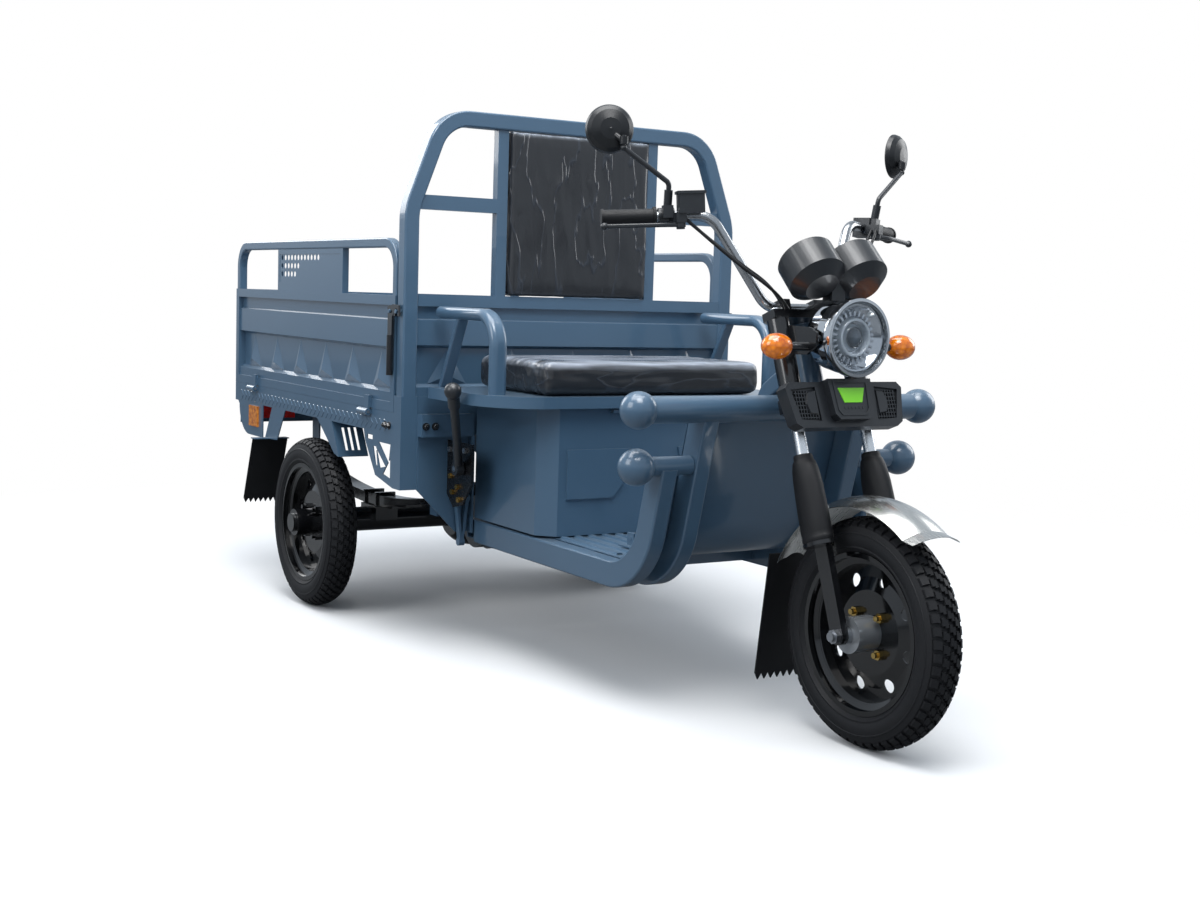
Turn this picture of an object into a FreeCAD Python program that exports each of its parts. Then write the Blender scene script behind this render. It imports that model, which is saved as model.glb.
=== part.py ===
import FreeCAD, Part
import math
import os
from FreeCAD import Vector

# Electric cargo tricycle. Millimetres, +X forward, +Y left, +Z up.
# Every piece is first placed from the rear axle on the ground, then all move to the box centre.

# Wheels and stance
wheelbase = 1811.0
rear_track = 1000.0
tyre_radius = 240.0
tyre_width = 91.0
bead_radius = 160.0
rim_wall = 3.0
vent_hole_radius = 14.0
vent_hole_count = 8
stud_circle_radius = 54.0
stud_count = 4
stud_radius = 6.0
nut_across = 19.0
nut_height = 11.0
hub_bore_gap = 0.05
front_axle_radius = 10.0

# Cargo box
box_width = 1016.0
box_front = 598.0
box_rear = 676.0
bed_height = 597.0
sill_height = 57.0
sill_width = 60.0
tube_wall = 2.5
sheet = 2.0
gate_height = 296.5
gate_depth = 30.0
gate_tube = 25.0
gate_seam = 0.5
gate_rail_rise = 146.0
gate_rail_bend = 65.0
gate_end_gap = 2.0
vent_panel_rear = -310.0
vent_panel_front = 192.0
vent_panel_depth = 18.0
vent_radius = 8.0
vent_pitch = 26.0
vent_rows = (12, 6, 5)
rib_count = 6
rib_rise = 13.0
hinge_radius = 9.0
hinge_pin_radius = 4.0
hinge_run_gap = 0.05
hinge_half = 30.0
hinge_spots = (-494.0, 383.0)
corner_post = 45.0
corner_post_foot = 403.0
tail_foot = 440.0

# Roll hoop and backrest
hoop_tube = 40.0
hoop_shoulder = 1112.0
hoop_rise = 252.0
hoop_crown_half = 398.0
hoop_foot = 641.0
beam_share = 0.55
hoop_low_bend = 150.0
hoop_high_bend = 100.0
beam_height = 31.0
backrest_half = 215.0
backrest_depth = 53.0
upright_width = 30.0
bar_height = 36.0

# Footwell and front end
floor_tube_width = 40.0
floor_tube_depth = 60.0
floor_tube_base = 264.0
inner_tube_spread = 84.0
footwell_rear = 634.0
front_bend_x = 1280.0
front_bend_radius = 150.0
front_lean = 14.3
upper_bar_z = 678.0
upper_bar_radius = 29.0
upper_bar_half = 386.5
lower_bar_z = 555.0
lower_bar_radius = 21.0
lower_bar_half = 365.0
lower_bar_stub_in = 62.0
ball_radius = 40.0

# Battery box and seat
battery_box_half = 312.0
battery_box_front = 988.0
battery_box_chamfer = 40.0
seat_base_z = 640.0
platform_thick = 28.0
platform_half = 452.0
platform_rear = 618.0
platform_front = 1013.0
platform_corner = 95.0
cushion_half = 323.0
cushion_front = 1000.0
cushion_rear = 640.0
cushion_height = 75.0
armrest_y = 406.0
armrest_width = 44.0
armrest_depth = 30.0
armrest_top = 870.0
armrest_front = 917.0
armrest_rear = 622.0
armrest_bend = 75.0
seat_hinge_x = 999.0
seat_hinge_radius = 6.0
seat_hinge_y = 105.0

# Fork and steering
rake = 20.2
fork_offset = 40.0
leg_y = 92.0
stanchion_radius = 13.5
lower_yoke_low = 470.0
lower_yoke_high = 500.0
upper_yoke_low = 672.0
upper_yoke_high = 690.0
head_tube_radius = 27.0
stem_radius = 18.0
leg_tube_radius = 21.0
leg_bar_thick = 16.0
leg_bar_width = 37.0
gaiter_low = 195.0
gaiter_high = 379.0
fork_travel = 60.0
axle_travel = 25.0

# Handlebar and controls
bar_radius = 11.0
bar_low_rise = 23.0
bar_end_back = 450.0
bar_end_y = 398.0
bar_end_z = 1074.0
bar_elbow_back = 352.0
bar_elbow_y = 190.0
bar_elbow_z = 1088.0
grip_radius = 17.0
grip_length = 112.0
headlight_back = 73.0
headlight_z = 841.0
headlight_radius = 80.0

# Common clearances
seat_gap = 0.3
run_gap = 0.05

# Sizes that follow from those above
half_width = box_width / 2
gate_low = bed_height + gate_seam
gate_high = gate_low + gate_height
rail_high = gate_high + gate_rail_rise
rail_mid = rail_high - gate_tube / 2
gate_front = box_front - corner_post - gate_end_gap
gate_rear = -box_rear
sill_low = bed_height - sill_height
hinge_y = half_width + hinge_radius + gate_seam
hinge_z = bed_height - hinge_radius
hoop_mid_x = box_front - hoop_tube / 2
hoop_top = hoop_shoulder + hoop_rise
hoop_post_y = half_width - corner_post / 2
half_track = rear_track / 2
outer_tube_y = battery_box_half - floor_tube_width / 2
inner_tube_y = outer_tube_y - inner_tube_spread
lower_bar_stub = lower_bar_half - outer_tube_y + lower_bar_stub_in
floor_mid = floor_tube_base + floor_tube_depth / 2
floor_top = floor_tube_base + floor_tube_depth
platform_top = seat_base_z + platform_thick
rail_low = sill_low - floor_tube_depth
bar_end_x = wheelbase - bar_end_back
bar_elbow_x = wheelbase - bar_elbow_back
headlight_x = wheelbase - headlight_back
origin = Vector(0, 0, 0)
x_axis = Vector(1, 0, 0)
y_axis = Vector(0, 1, 0)
z_axis = Vector(0, 0, 1)


# Basic shapes
def block(x0, x1, y0, y1, z0, z1):
    """A box between two corners."""
    low = Vector(min(x0, x1), min(y0, y1), min(z0, z1))
    return Part.makeBox(abs(x1 - x0), abs(y1 - y0), abs(z1 - z0), low)


def rod(start, end, radius):
    """A round bar between two points."""
    run = end.sub(start)
    return Part.makeCylinder(radius, run.Length, start, run)


def fuse(shapes):
    """One solid from several that meet."""
    first, rest = shapes[0], list(shapes[1:])
    return first.multiFuse(rest).removeSplitter() if rest else first


def cut(shape, tools):
    """A shape with several pieces taken out."""
    for tool in tools:
        shape = shape.cut(tool)
    return shape


def mirrored(shape):
    """The same piece on the other side of the vehicle."""
    return shape.mirror(origin, y_axis)


def both_sides(shape):
    """A right-hand piece and its left-hand twin."""
    return [shape, mirrored(shape)]


def plate_xz(points, y0, y1):
    """A flat plate whose outline is drawn from the side."""
    outline = Part.makePolygon([Vector(x, y0, z) for x, z in points + points[:1]])
    return Part.Face(outline).extrude(Vector(0, y1 - y0, 0))


def plate_yz(points, x0, x1):
    """A flat plate or long section whose outline is drawn from the front."""
    outline = Part.makePolygon([Vector(x0, y, z) for y, z in points + points[:1]])
    return Part.Face(outline).extrude(Vector(x1 - x0, 0, 0))


def plate_xy(points, z0, z1):
    """A flat plate whose outline is drawn from above."""
    outline = Part.makePolygon([Vector(x, y, z0) for x, y in points + points[:1]])
    return Part.Face(outline).extrude(Vector(0, 0, z1 - z0))


def bent_path(points, bends):
    """A path of straight runs joined by tangent arcs of the given bend radii."""
    edges = []
    start = points[0]
    for index, corner in enumerate(points[1:-1]):
        before = points[index].sub(corner).normalize()
        after = points[index + 2].sub(corner).normalize()
        half_angle = before.getAngle(after) / 2
        reach = bends[index] / math.tan(half_angle)
        middle = before.add(after).normalize()
        centre_reach = bends[index] / math.sin(half_angle)
        arc_in = corner.add(before.multiply(reach))
        arc_out = corner.add(after.multiply(reach))
        arc_mid = corner.add(middle.multiply(centre_reach - bends[index]))
        edges.append(Part.LineSegment(start, arc_in).toShape())
        edges.append(Part.Arc(arc_in, arc_mid, arc_out).toShape())
        start = arc_out
    edges.append(Part.LineSegment(start, points[-1]).toShape())
    return Part.Wire(edges)


def box_section(centre, along, side, width, depth, corner):
    """A rounded rectangle across a tube, width along side."""
    run = Vector(along).normalize()
    across = Vector(side).normalize()
    over = run.cross(across)
    edges = []
    half_w, half_d = width / 2 - corner, depth / 2 - corner
    signs = ((1, 1), (-1, 1), (-1, -1), (1, -1))
    spots = []
    for sw, sd in signs:
        knee = centre.add(across * (sw * half_w)).add(over * (sd * half_d))
        wide = knee.add(across * (sw * corner))
        deep = knee.add(over * (sd * corner))
        mid = knee.add((across * sw + over * sd) * (corner / math.sqrt(2)))
        spots.append((wide, mid, deep) if sw * sd > 0 else (deep, mid, wide))
    for index, (first, mid, last) in enumerate(spots):
        edges.append(Part.Arc(first, mid, last).toShape())
        edges.append(Part.LineSegment(last, spots[(index + 1) % 4][0]).toShape())
    return Part.Wire(edges)


def box_tube(points, bends, side, width, depth, corner=4.0, wall=None):
    """A bent rectangular tube, solid where no wall is given."""
    path = bent_path(points, bends)
    along = points[1].sub(points[0])
    skin = path.makePipeShell([box_section(points[0], along, side, width, depth, corner)], True, False)
    if wall is None:
        return skin
    inner_corner = max(corner - wall, corner / 4)
    section = box_section(points[0], along, side, width - 2 * wall, depth - 2 * wall, inner_corner)
    return skin.cut(path.makePipeShell([section], True, False))


def split_at_bends(tube, points):
    """Cuts a bent tube across each bend into lengths that meet face to face."""
    reach = wheelbase + box_rear
    lengths = []
    for before, corner, after in zip(points, points[1:], points[2:]):
        run = corner.sub(before).normalize().add(after.sub(corner).normalize())
        behind = block(-reach, reach, -reach, reach, -reach, 0)
        behind.Placement = FreeCAD.Placement(corner,
                                             FreeCAD.Rotation(z_axis, run)).multiply(behind.Placement)
        lengths += tube.common(behind).Solids
        tube = tube.cut(behind)
    return lengths + tube.Solids


def round_tube(points, bends, radius, wall=None):
    """A bent round tube, solid where no wall is given."""
    path = bent_path(points, bends)
    along = points[1].sub(points[0])
    ring = Part.Wire(Part.makeCircle(radius, points[0], along))
    skin = path.makePipeShell([ring], True, False)
    if wall is None:
        return skin
    bore = Part.Wire(Part.makeCircle(radius - wall, points[0], along))
    return skin.cut(path.makePipeShell([bore], True, False))


def turned(points, axis_start, axis):
    """A solid turned about the axle direction from an outline of radius and offset pairs."""
    outline = Part.makePolygon([Vector(r, y, 0) for r, y in points + points[:1]])
    solid = Part.Face(outline).revolve(origin, y_axis, 360)
    if axis == "x":
        solid.rotate(origin, z_axis, -90)
    solid.translate(axis_start)
    return solid


def hexagon(centre, axis, across, height):
    """A hexagon nut or bolt head."""
    corner = across / math.sqrt(3)
    points = []
    for index in range(7):
        angle = math.radians(60 * index)
        points.append(Vector(corner * math.cos(angle), corner * math.sin(angle), 0))
    nut = Part.Face(Part.makePolygon(points)).extrude(Vector(0, 0, height))
    nut.Placement = FreeCAD.Placement(centre, FreeCAD.Rotation(z_axis, axis))
    return nut


def fork_frame(shape):
    """Moves a piece drawn along a straight-up fork leg to the raked fork."""
    shape.rotate(origin, y_axis, -rake)
    shape.translate(Vector(wheelbase, 0, tyre_radius))
    return shape


def fork_point(ahead, side, up):
    """The place of a point that is given along and across the fork."""
    slope = math.radians(rake)
    x = wheelbase + ahead * math.cos(slope) - up * math.sin(slope)
    z = tyre_radius + ahead * math.sin(slope) + up * math.cos(slope)
    return Vector(x, side, z)


nodes = {}


# Wheels
flange_radius = bead_radius + 8
barrel_radius = bead_radius - 14
disc_thick = 4.0
hub_radius = 38.0
hub_half = 62.0
bead_gap = 0.3
rim_lip_share = 0.4
rim_lip = 5.0


def tyre(centre):
    """A round-shouldered tyre with an open inside."""
    half = tyre_width / 2
    crown = tyre_radius
    shoulder = tyre_radius - 16
    wall = 9.0
    bead = bead_radius + bead_gap
    belly = (bead + shoulder) / 2

    def rim_arc(inset):
        low_left = Vector(bead, -half * 0.66 + inset, 0)
        wide_left = Vector(belly, -half + inset, 0)
        high_left = Vector(shoulder - inset / 2, -half * 0.84 + inset, 0)
        top = Vector(crown - inset, 0, 0)
        points = [Vector(p.x, -p.y, 0) for p in (high_left, wide_left, low_left)]
        sides = [Part.Arc(low_left, wide_left, high_left), Part.Arc(high_left, top, points[0])]
        sides.append(Part.Arc(points[0], points[1], points[2]))
        return [side.toShape() for side in sides], low_left, points[2]

    outer, outer_left, outer_right = rim_arc(0)
    inner, inner_left, inner_right = rim_arc(wall)
    ends = [Part.LineSegment(outer_right, inner_right).toShape()]
    ends.append(Part.LineSegment(inner_left, outer_left).toShape())
    edges = Part.sortEdges(outer + inner + ends)[0]
    ring = Part.Face(Part.Wire(edges)).revolve(origin, y_axis, 360)
    bead_face = tyre_width * rim_lip_share - rim_lip - bead_gap
    edge_radius = flange_radius + bead_gap
    for sign in (-1, 1):
        notch = [(bead_radius - 10, sign * bead_face), (edge_radius, sign * bead_face),
                 (edge_radius, sign * half), (bead_radius - 10, sign * half)]
        ring = ring.cut(turned(notch, origin, "y"))
    ring.translate(centre)
    return ring


def stud_spots(centre, face_y, radius):
    """Places of the wheel studs on the disc."""
    spots = []
    for index in range(stud_count):
        angle = math.radians(45 + index * 360 / stud_count)
        spots.append(centre.add(Vector(radius * math.cos(angle), face_y, radius * math.sin(angle))))
    return spots


def rim(centre, out):
    """A pressed steel rim. The dish opens to the side that out points to."""
    lip = tyre_width * rim_lip_share
    seat = lip - rim_lip
    well = lip - 20
    outer = [(flange_radius, lip), (flange_radius, lip - rim_wall), (bead_radius, seat),
             (bead_radius, well + 6), (barrel_radius, well), (barrel_radius, -well),
             (bead_radius, -well - 6), (bead_radius, -seat), (flange_radius, -lip + rim_wall),
             (flange_radius, -lip)]
    inner = [(bead_radius - rim_wall, -lip), (bead_radius - rim_wall, -well - 4),
             (barrel_radius - rim_wall, -well + 2), (barrel_radius - rim_wall, well - 2),
             (bead_radius - rim_wall, well + 4), (bead_radius - rim_wall, lip)]
    barrel = turned(outer + inner, origin, "y")
    edge = barrel_radius - rim_wall / 2
    dish = [(edge, 12), (115, 9), (88, 0), (hub_radius + seat_gap, 0)]
    disc = turned(dish + [(r, y - disc_thick) for r, y in reversed(dish)], origin, "y")
    wheel = fuse([barrel, disc])
    for index in range(vent_hole_count):
        angle = math.radians(30 + index * 360 / vent_hole_count)
        middle = Vector(115 * math.cos(angle), -30, 115 * math.sin(angle))
        wheel = wheel.cut(Part.makeCylinder(vent_hole_radius, 80, middle, y_axis))
    for spot in stud_spots(origin, -30, stud_circle_radius):
        wheel = wheel.cut(Part.makeCylinder(stud_radius + seat_gap, 60, spot, y_axis))
    if out > 0:
        wheel = mirrored(wheel)
    wheel.translate(centre)
    return wheel


def hub(centre, out, bore, inboard):
    """A turned hub with a flange behind the disc, studs and nuts. Out points to the nut side."""
    flange = stud_circle_radius + 16
    drum = flange + 14
    body = fuse([Part.makeCylinder(hub_radius, hub_half, Vector(0, -hub_half, 0), y_axis),
                 Part.makeCylinder(flange, 9, Vector(0, seat_gap, 0), y_axis),
                 Part.makeCylinder(drum, inboard - 9, Vector(0, 9, 0), y_axis)])
    body = body.cut(Part.makeCylinder(bore, 4 * hub_half, Vector(0, -2 * hub_half, 0), y_axis))
    studs = []
    nuts = []
    for spot in stud_spots(origin, 0, stud_circle_radius):
        studs.append(Part.makeCylinder(stud_radius, 28, spot.add(Vector(0, -24, 0)), y_axis))
        nut = hexagon(spot.add(Vector(0, -disc_thick - nut_height, 0)), y_axis, nut_across, nut_height)
        hole = Part.makeCylinder(stud_radius, 60, spot.add(Vector(0, -40, 0)), y_axis)
        nuts.append(nut.cut(hole))
    solids = [fuse([body] + studs)] + nuts
    solids = [solid if out < 0 else mirrored(solid) for solid in solids]
    for solid in solids:
        solid.translate(centre)
    return solids


front_centre = Vector(wheelbase, 0, tyre_radius)
nodes["front_tyre"] = tyre(front_centre)
nodes["front_rim"] = rim(front_centre, -1)
nodes["front_hub"] = hub(front_centre, -1, front_axle_radius + hub_bore_gap, hub_half)

half_shaft_radius = 16.0
for side, sign in (("right", -1), ("left", 1)):
    wheel_centre = Vector(0, sign * half_track, tyre_radius)
    nodes[side + "_rear_tyre"] = tyre(wheel_centre)
    hub_solids = hub(wheel_centre, sign, half_shaft_radius + hub_bore_gap, 58)
    nodes[side + "_rear_rim"] = [rim(wheel_centre, sign)] + hub_solids


# Cargo bed: sills, corner posts, gussets, tail panel and cross members
def sill(sign):
    """One side sill with its fixed hinge barrels."""
    outer = block(gate_rear, box_front - corner_post, -half_width, -half_width + sill_width, sill_low,
                  bed_height)
    hollow = block(gate_rear - 1, box_front, -half_width + tube_wall, -half_width + sill_width - tube_wall,
                   sill_low + tube_wall, bed_height - tube_wall)
    pieces = [outer.cut(hollow)]
    for spot in hinge_spots:
        start = Vector(spot - hinge_half, -hinge_y, hinge_z)
        pieces.append(rod(start, start.add(Vector(hinge_half - seat_gap, 0, 0)), hinge_radius))
        pieces.append(block(spot - hinge_half, spot - seat_gap, -hinge_y, -half_width, hinge_z - 10,
                            hinge_z - 3))
    solid = fuse(pieces)
    for spot in hinge_spots:
        start = Vector(spot - hinge_half, -hinge_y, hinge_z)
        solid = solid.cut(rod(start.sub(x_axis), start.add(Vector(hinge_half, 0, 0)), hinge_pin_radius))
    return solid if sign < 0 else mirrored(solid)


def corner(sign):
    """A square corner post with its cut-out gusset plate."""
    x1, x0 = box_front, box_front - corner_post
    y0, y1 = -half_width, -half_width + corner_post
    post = block(x0, x1, y0, y1, corner_post_foot, hoop_foot)
    post = post.cut(block(x0 + tube_wall, x1 - tube_wall, y0 + tube_wall, y1 - tube_wall, 0, hoop_foot * 2))
    low, high = corner_post_foot, sill_low
    gusset = plate_xz([(x0, low), (x0, high), (x0 - 190, high), (x0 - 178, high - 30),
                       (x0 - 110, low + 22)], y0, y0 + 3)
    windows = [[(x0 - 16, high - 26), (x0 - 92, high - 26), (x0 - 26, high - 78)],
               [(x0 - 16, low + 22), (x0 - 16, high - 60), (x0 - 62, low + 30)],
               [(x0 - 108, high - 42), (x0 - 82, low + 44), (x0 - 44, high - 86)],
               [(x0 - 128, high - 40), (x0 - 106, high - 40), (x0 - 96, low + 44), (x0 - 110, low + 50)],
               [(x0 - 166, high - 12), (x0 - 130, high - 12), (x0 - 130, high - 24), (x0 - 166, high - 24)]]
    gusset = cut(gusset, [plate_xz(window, y0 - 1, y0 + 4) for window in windows])
    solid = fuse([post, gusset])
    return solid if sign < 0 else mirrored(solid)


def tail_side(sign):
    """The rounded side plate below the sill at the tail."""
    y0 = -half_width
    low, high = tail_foot, sill_low
    rear, front = gate_rear + 26, -420.0
    sweep = 90.0
    spots = [Vector(front, y0, high), Vector(rear, y0, high), Vector(rear + 12, y0, low + sweep),
             Vector(rear + sweep * 0.42, y0, low + sweep * 0.32), Vector(rear + sweep * 1.1, y0, low),
             Vector(front, y0, low)]
    edges = [Part.LineSegment(spots[0], spots[1]).toShape(),
             Part.LineSegment(spots[1], spots[2]).toShape(),
             Part.Arc(spots[2], spots[3], spots[4]).toShape(),
             Part.LineSegment(spots[4], spots[5]).toShape(),
             Part.LineSegment(spots[5], spots[0]).toShape()]
    plate = Part.Face(Part.Wire(edges)).extrude(Vector(0, 3, 0))
    plate = plate.cut(block(marker_x - 42, marker_x + 34, y0 - 1, y0 + 4, marker_z - 32, marker_z + 32))
    return plate if sign < 0 else mirrored(plate)


marker_x = -490.0
marker_z = 502.0
tail_panel_x = gate_rear + 40
member_height = 42.0
member_width = 40.0
member_spots = (-600.0, -430.0, -140.0, 140.0, 430.0)
floor_sheet_low = bed_height - 10
bed_pieces = []
for sign in (-1, 1):
    bed_pieces += [sill(sign), corner(sign), tail_side(sign)]
inner_sill = half_width - sill_width
for spot in member_spots:
    member = block(spot - member_width / 2, spot + member_width / 2, -inner_sill, inner_sill,
                   sill_low, sill_low + member_height)
    bed_pieces.append(member.cut(block(spot - member_width / 2 + tube_wall, spot
                                       + member_width / 2 - tube_wall, -half_width, half_width, sill_low
                                       + tube_wall, sill_low + member_height - tube_wall)))
front_member = block(box_front - corner_post, box_front - tube_wall, -half_width + corner_post,
                     half_width - corner_post, sill_low, bed_height)
bed_pieces.append(front_member.cut(block(box_front - corner_post + tube_wall, box_front - 2 * tube_wall,
                                         -half_width, half_width, sill_low + tube_wall,
                                         bed_height - tube_wall)))
tail_panel = block(tail_panel_x, tail_panel_x + sheet, -half_width + 3, half_width - 3, tail_foot + 30,
                   sill_low)
tail_lamp_y = 390.0
tail_lamp_half = 70.0
tail_lamp_z = sill_low - 38
for sign in (-1, 1):
    window = block(tail_panel_x - 1, tail_panel_x + 4, sign * tail_lamp_y - tail_lamp_half + 4,
                   sign * tail_lamp_y + tail_lamp_half - 4, tail_lamp_z - 20, tail_lamp_z + 20)
    tail_panel = tail_panel.cut(window)
tail_beam = block(gate_rear, gate_rear + 44, -inner_sill, inner_sill, sill_low, bed_height)
tail_beam = tail_beam.cut(block(gate_rear + tube_wall, gate_rear + 44 - tube_wall, -half_width, half_width,
                                sill_low + tube_wall, bed_height - tube_wall))
tail_hinge_x = gate_rear - hinge_radius - gate_seam
tail_hinge_spots = (-300.0, 300.0)
tail_pieces = [tail_beam, tail_panel]
for spot in tail_hinge_spots:
    start = Vector(tail_hinge_x, spot - hinge_half, hinge_z)
    tail_pieces.append(rod(start, start.add(Vector(0, hinge_half - seat_gap, 0)), hinge_radius))
    tail_pieces.append(block(tail_hinge_x, gate_rear, spot - hinge_half, spot - seat_gap, hinge_z - 10,
                             hinge_z - 3))
tail = fuse(tail_pieces)
for spot in tail_hinge_spots:
    start = Vector(tail_hinge_x, spot - hinge_half - 1, hinge_z)
    tail = tail.cut(rod(start, start.add(Vector(0, hinge_half + 1, 0)), hinge_pin_radius))
bed_pieces.append(tail)
nodes["cargo_bed_frame"] = bed_pieces

# Cargo bed floor: a sheet with pressed lengthwise ribs
floor_rib_count = 9
floor_rib_half = 22.0
floor_rib_rise = 8.0
floor_low_z = sill_low + member_height
floor_high_z = floor_low_z + sheet
floor_line = [(-inner_sill, floor_low_z)]
for index in range(floor_rib_count):
    middle = -inner_sill + (index + 0.5) * 2 * inner_sill / floor_rib_count
    floor_line += [(middle - floor_rib_half, floor_low_z),
                   (middle - floor_rib_half + 8, floor_low_z + floor_rib_rise),
                   (middle + floor_rib_half - 8, floor_low_z + floor_rib_rise),
                   (middle + floor_rib_half, floor_low_z)]
floor_line.append((inner_sill, floor_low_z))
floor_outline = floor_line + [(y, z + sheet) for y, z in reversed(floor_line)]
nodes["cargo_bed_floor"] = plate_yz(floor_outline, gate_rear + 44, box_front - corner_post)


# Pressed panels of the gates, the tailgate and the headboard
def pressed_panel(start, end, low, high, ribs):
    """A pressed sheet along X whose outer face is near y = 0 and whose depth goes to +y."""
    tall = high - low
    band_low, band_high = low + tall * 0.57, low + tall * 0.85
    ledge = low + tall * 0.1
    deep, near = gate_depth - 8, 5.0
    face = [(deep - 8, high), (deep - 8, band_high + 3), (near, band_high), (near, band_low),
            (deep, band_low - 8), (deep, ledge + 8), (near, ledge), (near, low)]
    back = [(y + sheet, z) for y, z in reversed(face)]
    shape = plate_yz(face + back, start, end)
    pitch = (end - start) / ribs
    wedges = []
    for index in range(ribs):
        middle = start + (index + 0.5) * pitch
        foot = [Vector(middle - pitch * 0.3, deep, ledge + 8),
                Vector(middle + pitch * 0.3, deep, ledge + 8), Vector(middle, deep, band_low - 8)]
        peak = Vector(middle, deep - rib_rise, ledge + 30)
        faces = [Part.Face(Part.makePolygon([foot[0], foot[1], foot[2], foot[0]]))]
        for first, second in ((0, 1), (1, 2), (2, 0)):
            faces.append(Part.Face(Part.makePolygon([foot[first], foot[second], peak, foot[first]])))
        wedges.append(Part.Solid(Part.Shell(faces)))
    return fuse([shape] + wedges)


def tube_block(x0, x1, y0, y1, z0, z1, axis):
    """A straight square tube that is open along the named axis."""
    wall = tube_wall
    if axis == "x":
        hollow = block(x0 - 1, x1 + 1, y0 + wall, y1 - wall, z0 + wall, z1 - wall)
    elif axis == "y":
        hollow = block(x0 + wall, x1 - wall, y0 - 1, y1 + 1, z0 + wall, z1 - wall)
    else:
        hollow = block(x0 + wall, x1 - wall, y0 + wall, y1 - wall, z0 - 1, z1 + 1)
    return block(x0, x1, y0, y1, z0, z1).cut(hollow)


def drop_gate(start, end, ribs):
    """A gate along X with its frame and panel. The outer face is y = 0."""
    tube, depth = gate_tube, gate_depth
    pieces = [tube_block(start + tube, end - tube, 0, depth, gate_low, gate_low + tube, "x"),
              tube_block(start + tube, end - tube, 0, depth, gate_high - tube, gate_high, "x"),
              tube_block(start, start + tube, 0, depth, gate_low, gate_high, "z"),
              tube_block(end - tube, end, 0, depth, gate_low, gate_high, "z"),
              pressed_panel(start + tube, end - tube, gate_low + tube, gate_high - tube, ribs)]
    return pieces


def gate_knuckles(spots):
    """Moving hinge barrels with their straps, for a gate whose outer face is y = 0."""
    axis_y = -(hinge_radius + gate_seam)
    shapes, bores = [], []
    for spot in spots:
        start = Vector(spot + seat_gap, axis_y, hinge_z)
        shapes.append(rod(start, start.add(Vector(hinge_half - seat_gap, 0, 0)), hinge_radius))
        shapes.append(block(spot + seat_gap, spot + hinge_half, axis_y, axis_y + 4, hinge_z, gate_low + 34))
        shapes.append(block(spot + seat_gap, spot + hinge_half, axis_y, 0, gate_low + 2, gate_low + 34))
        bores.append(rod(start.sub(x_axis), start.add(Vector(hinge_half + 2, 0, 0)), hinge_pin_radius
                         + hinge_run_gap))
    return shapes, bores


def vent_panel():
    """The perforated panel between the gate's top tube and the rail."""
    low, high = gate_high, rail_high - gate_tube
    panel = block(vent_panel_rear, vent_panel_front, 4, 4 + vent_panel_depth, low, high)
    panel = panel.cut(block(vent_panel_rear + 3, vent_panel_front - 3, 4 + sheet, 5 + vent_panel_depth,
                            low + 3, high - 3))
    recess = [(vent_panel_rear + 14, high - 14), (vent_panel_front - 20, high - 14),
              (vent_panel_front - 20, high - 34), (vent_panel_rear + 190, high - 34),
              (vent_panel_rear + 150, low + 26), (vent_panel_rear + 14, low + 26)]
    panel = panel.cut(plate_xz(recess, 3, 4 + sheet / 2))
    row_top = high - 24
    for row, count in enumerate(vent_rows):
        for index in range(count):
            spot = Vector(vent_panel_rear + 34 + index * vent_pitch, -5, row_top - row * vent_pitch * 0.92)
            panel = panel.cut(Part.makeCylinder(vent_radius, 40, spot, y_axis))
    return panel


keeper_x = box_front - hoop_tube / 2
latch_z = gate_high - 40
latch_pivot_x = gate_front - gate_tube / 2
latch_plate = 5.0
latch_lift = 4.0


def side_gate():
    """The right-hand gate with its rail, vent panel and hinges."""
    pieces = drop_gate(gate_rear, gate_front, rib_count)
    rear, front = gate_rear + gate_tube / 2, gate_front - gate_tube / 2
    mid_y = gate_depth / 2
    rail = box_tube([Vector(rear, mid_y, gate_high), Vector(rear, mid_y, rail_mid),
                     Vector(front, mid_y, rail_mid), Vector(front, mid_y, gate_high)],
                    [gate_rail_bend] * 2, y_axis, gate_tube, gate_tube, wall=tube_wall)
    knuckles, bores = gate_knuckles(hinge_spots)
    stud = rod(Vector(latch_pivot_x, 0, latch_z),
               Vector(latch_pivot_x, -latch_lift - latch_plate - 4, latch_z), 5)
    boss = rod(Vector(latch_pivot_x, 0, latch_z), Vector(latch_pivot_x, -latch_lift + seat_gap, latch_z),
               10)
    solids = [cut(fuse(pieces + [stud, boss] + knuckles), bores), rail, vent_panel()]
    for solid in solids:
        solid.translate(Vector(0, -half_width, 0))
    return solids


nodes["right_gate"] = side_gate()
nodes["left_gate"] = [mirrored(solid) for solid in nodes["right_gate"]]

tail_half = half_width - gate_depth - gate_end_gap
tail_knuckles, tail_bores = gate_knuckles(tail_hinge_spots)
tailgate = cut(fuse(drop_gate(-tail_half, tail_half, rib_count - 1) + tail_knuckles), tail_bores)
tailgate.rotate(origin, z_axis, -90)
tailgate = tailgate.mirror(origin, y_axis)
tailgate.translate(Vector(gate_rear, 0, 0))
nodes["tailgate"] = tailgate


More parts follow.
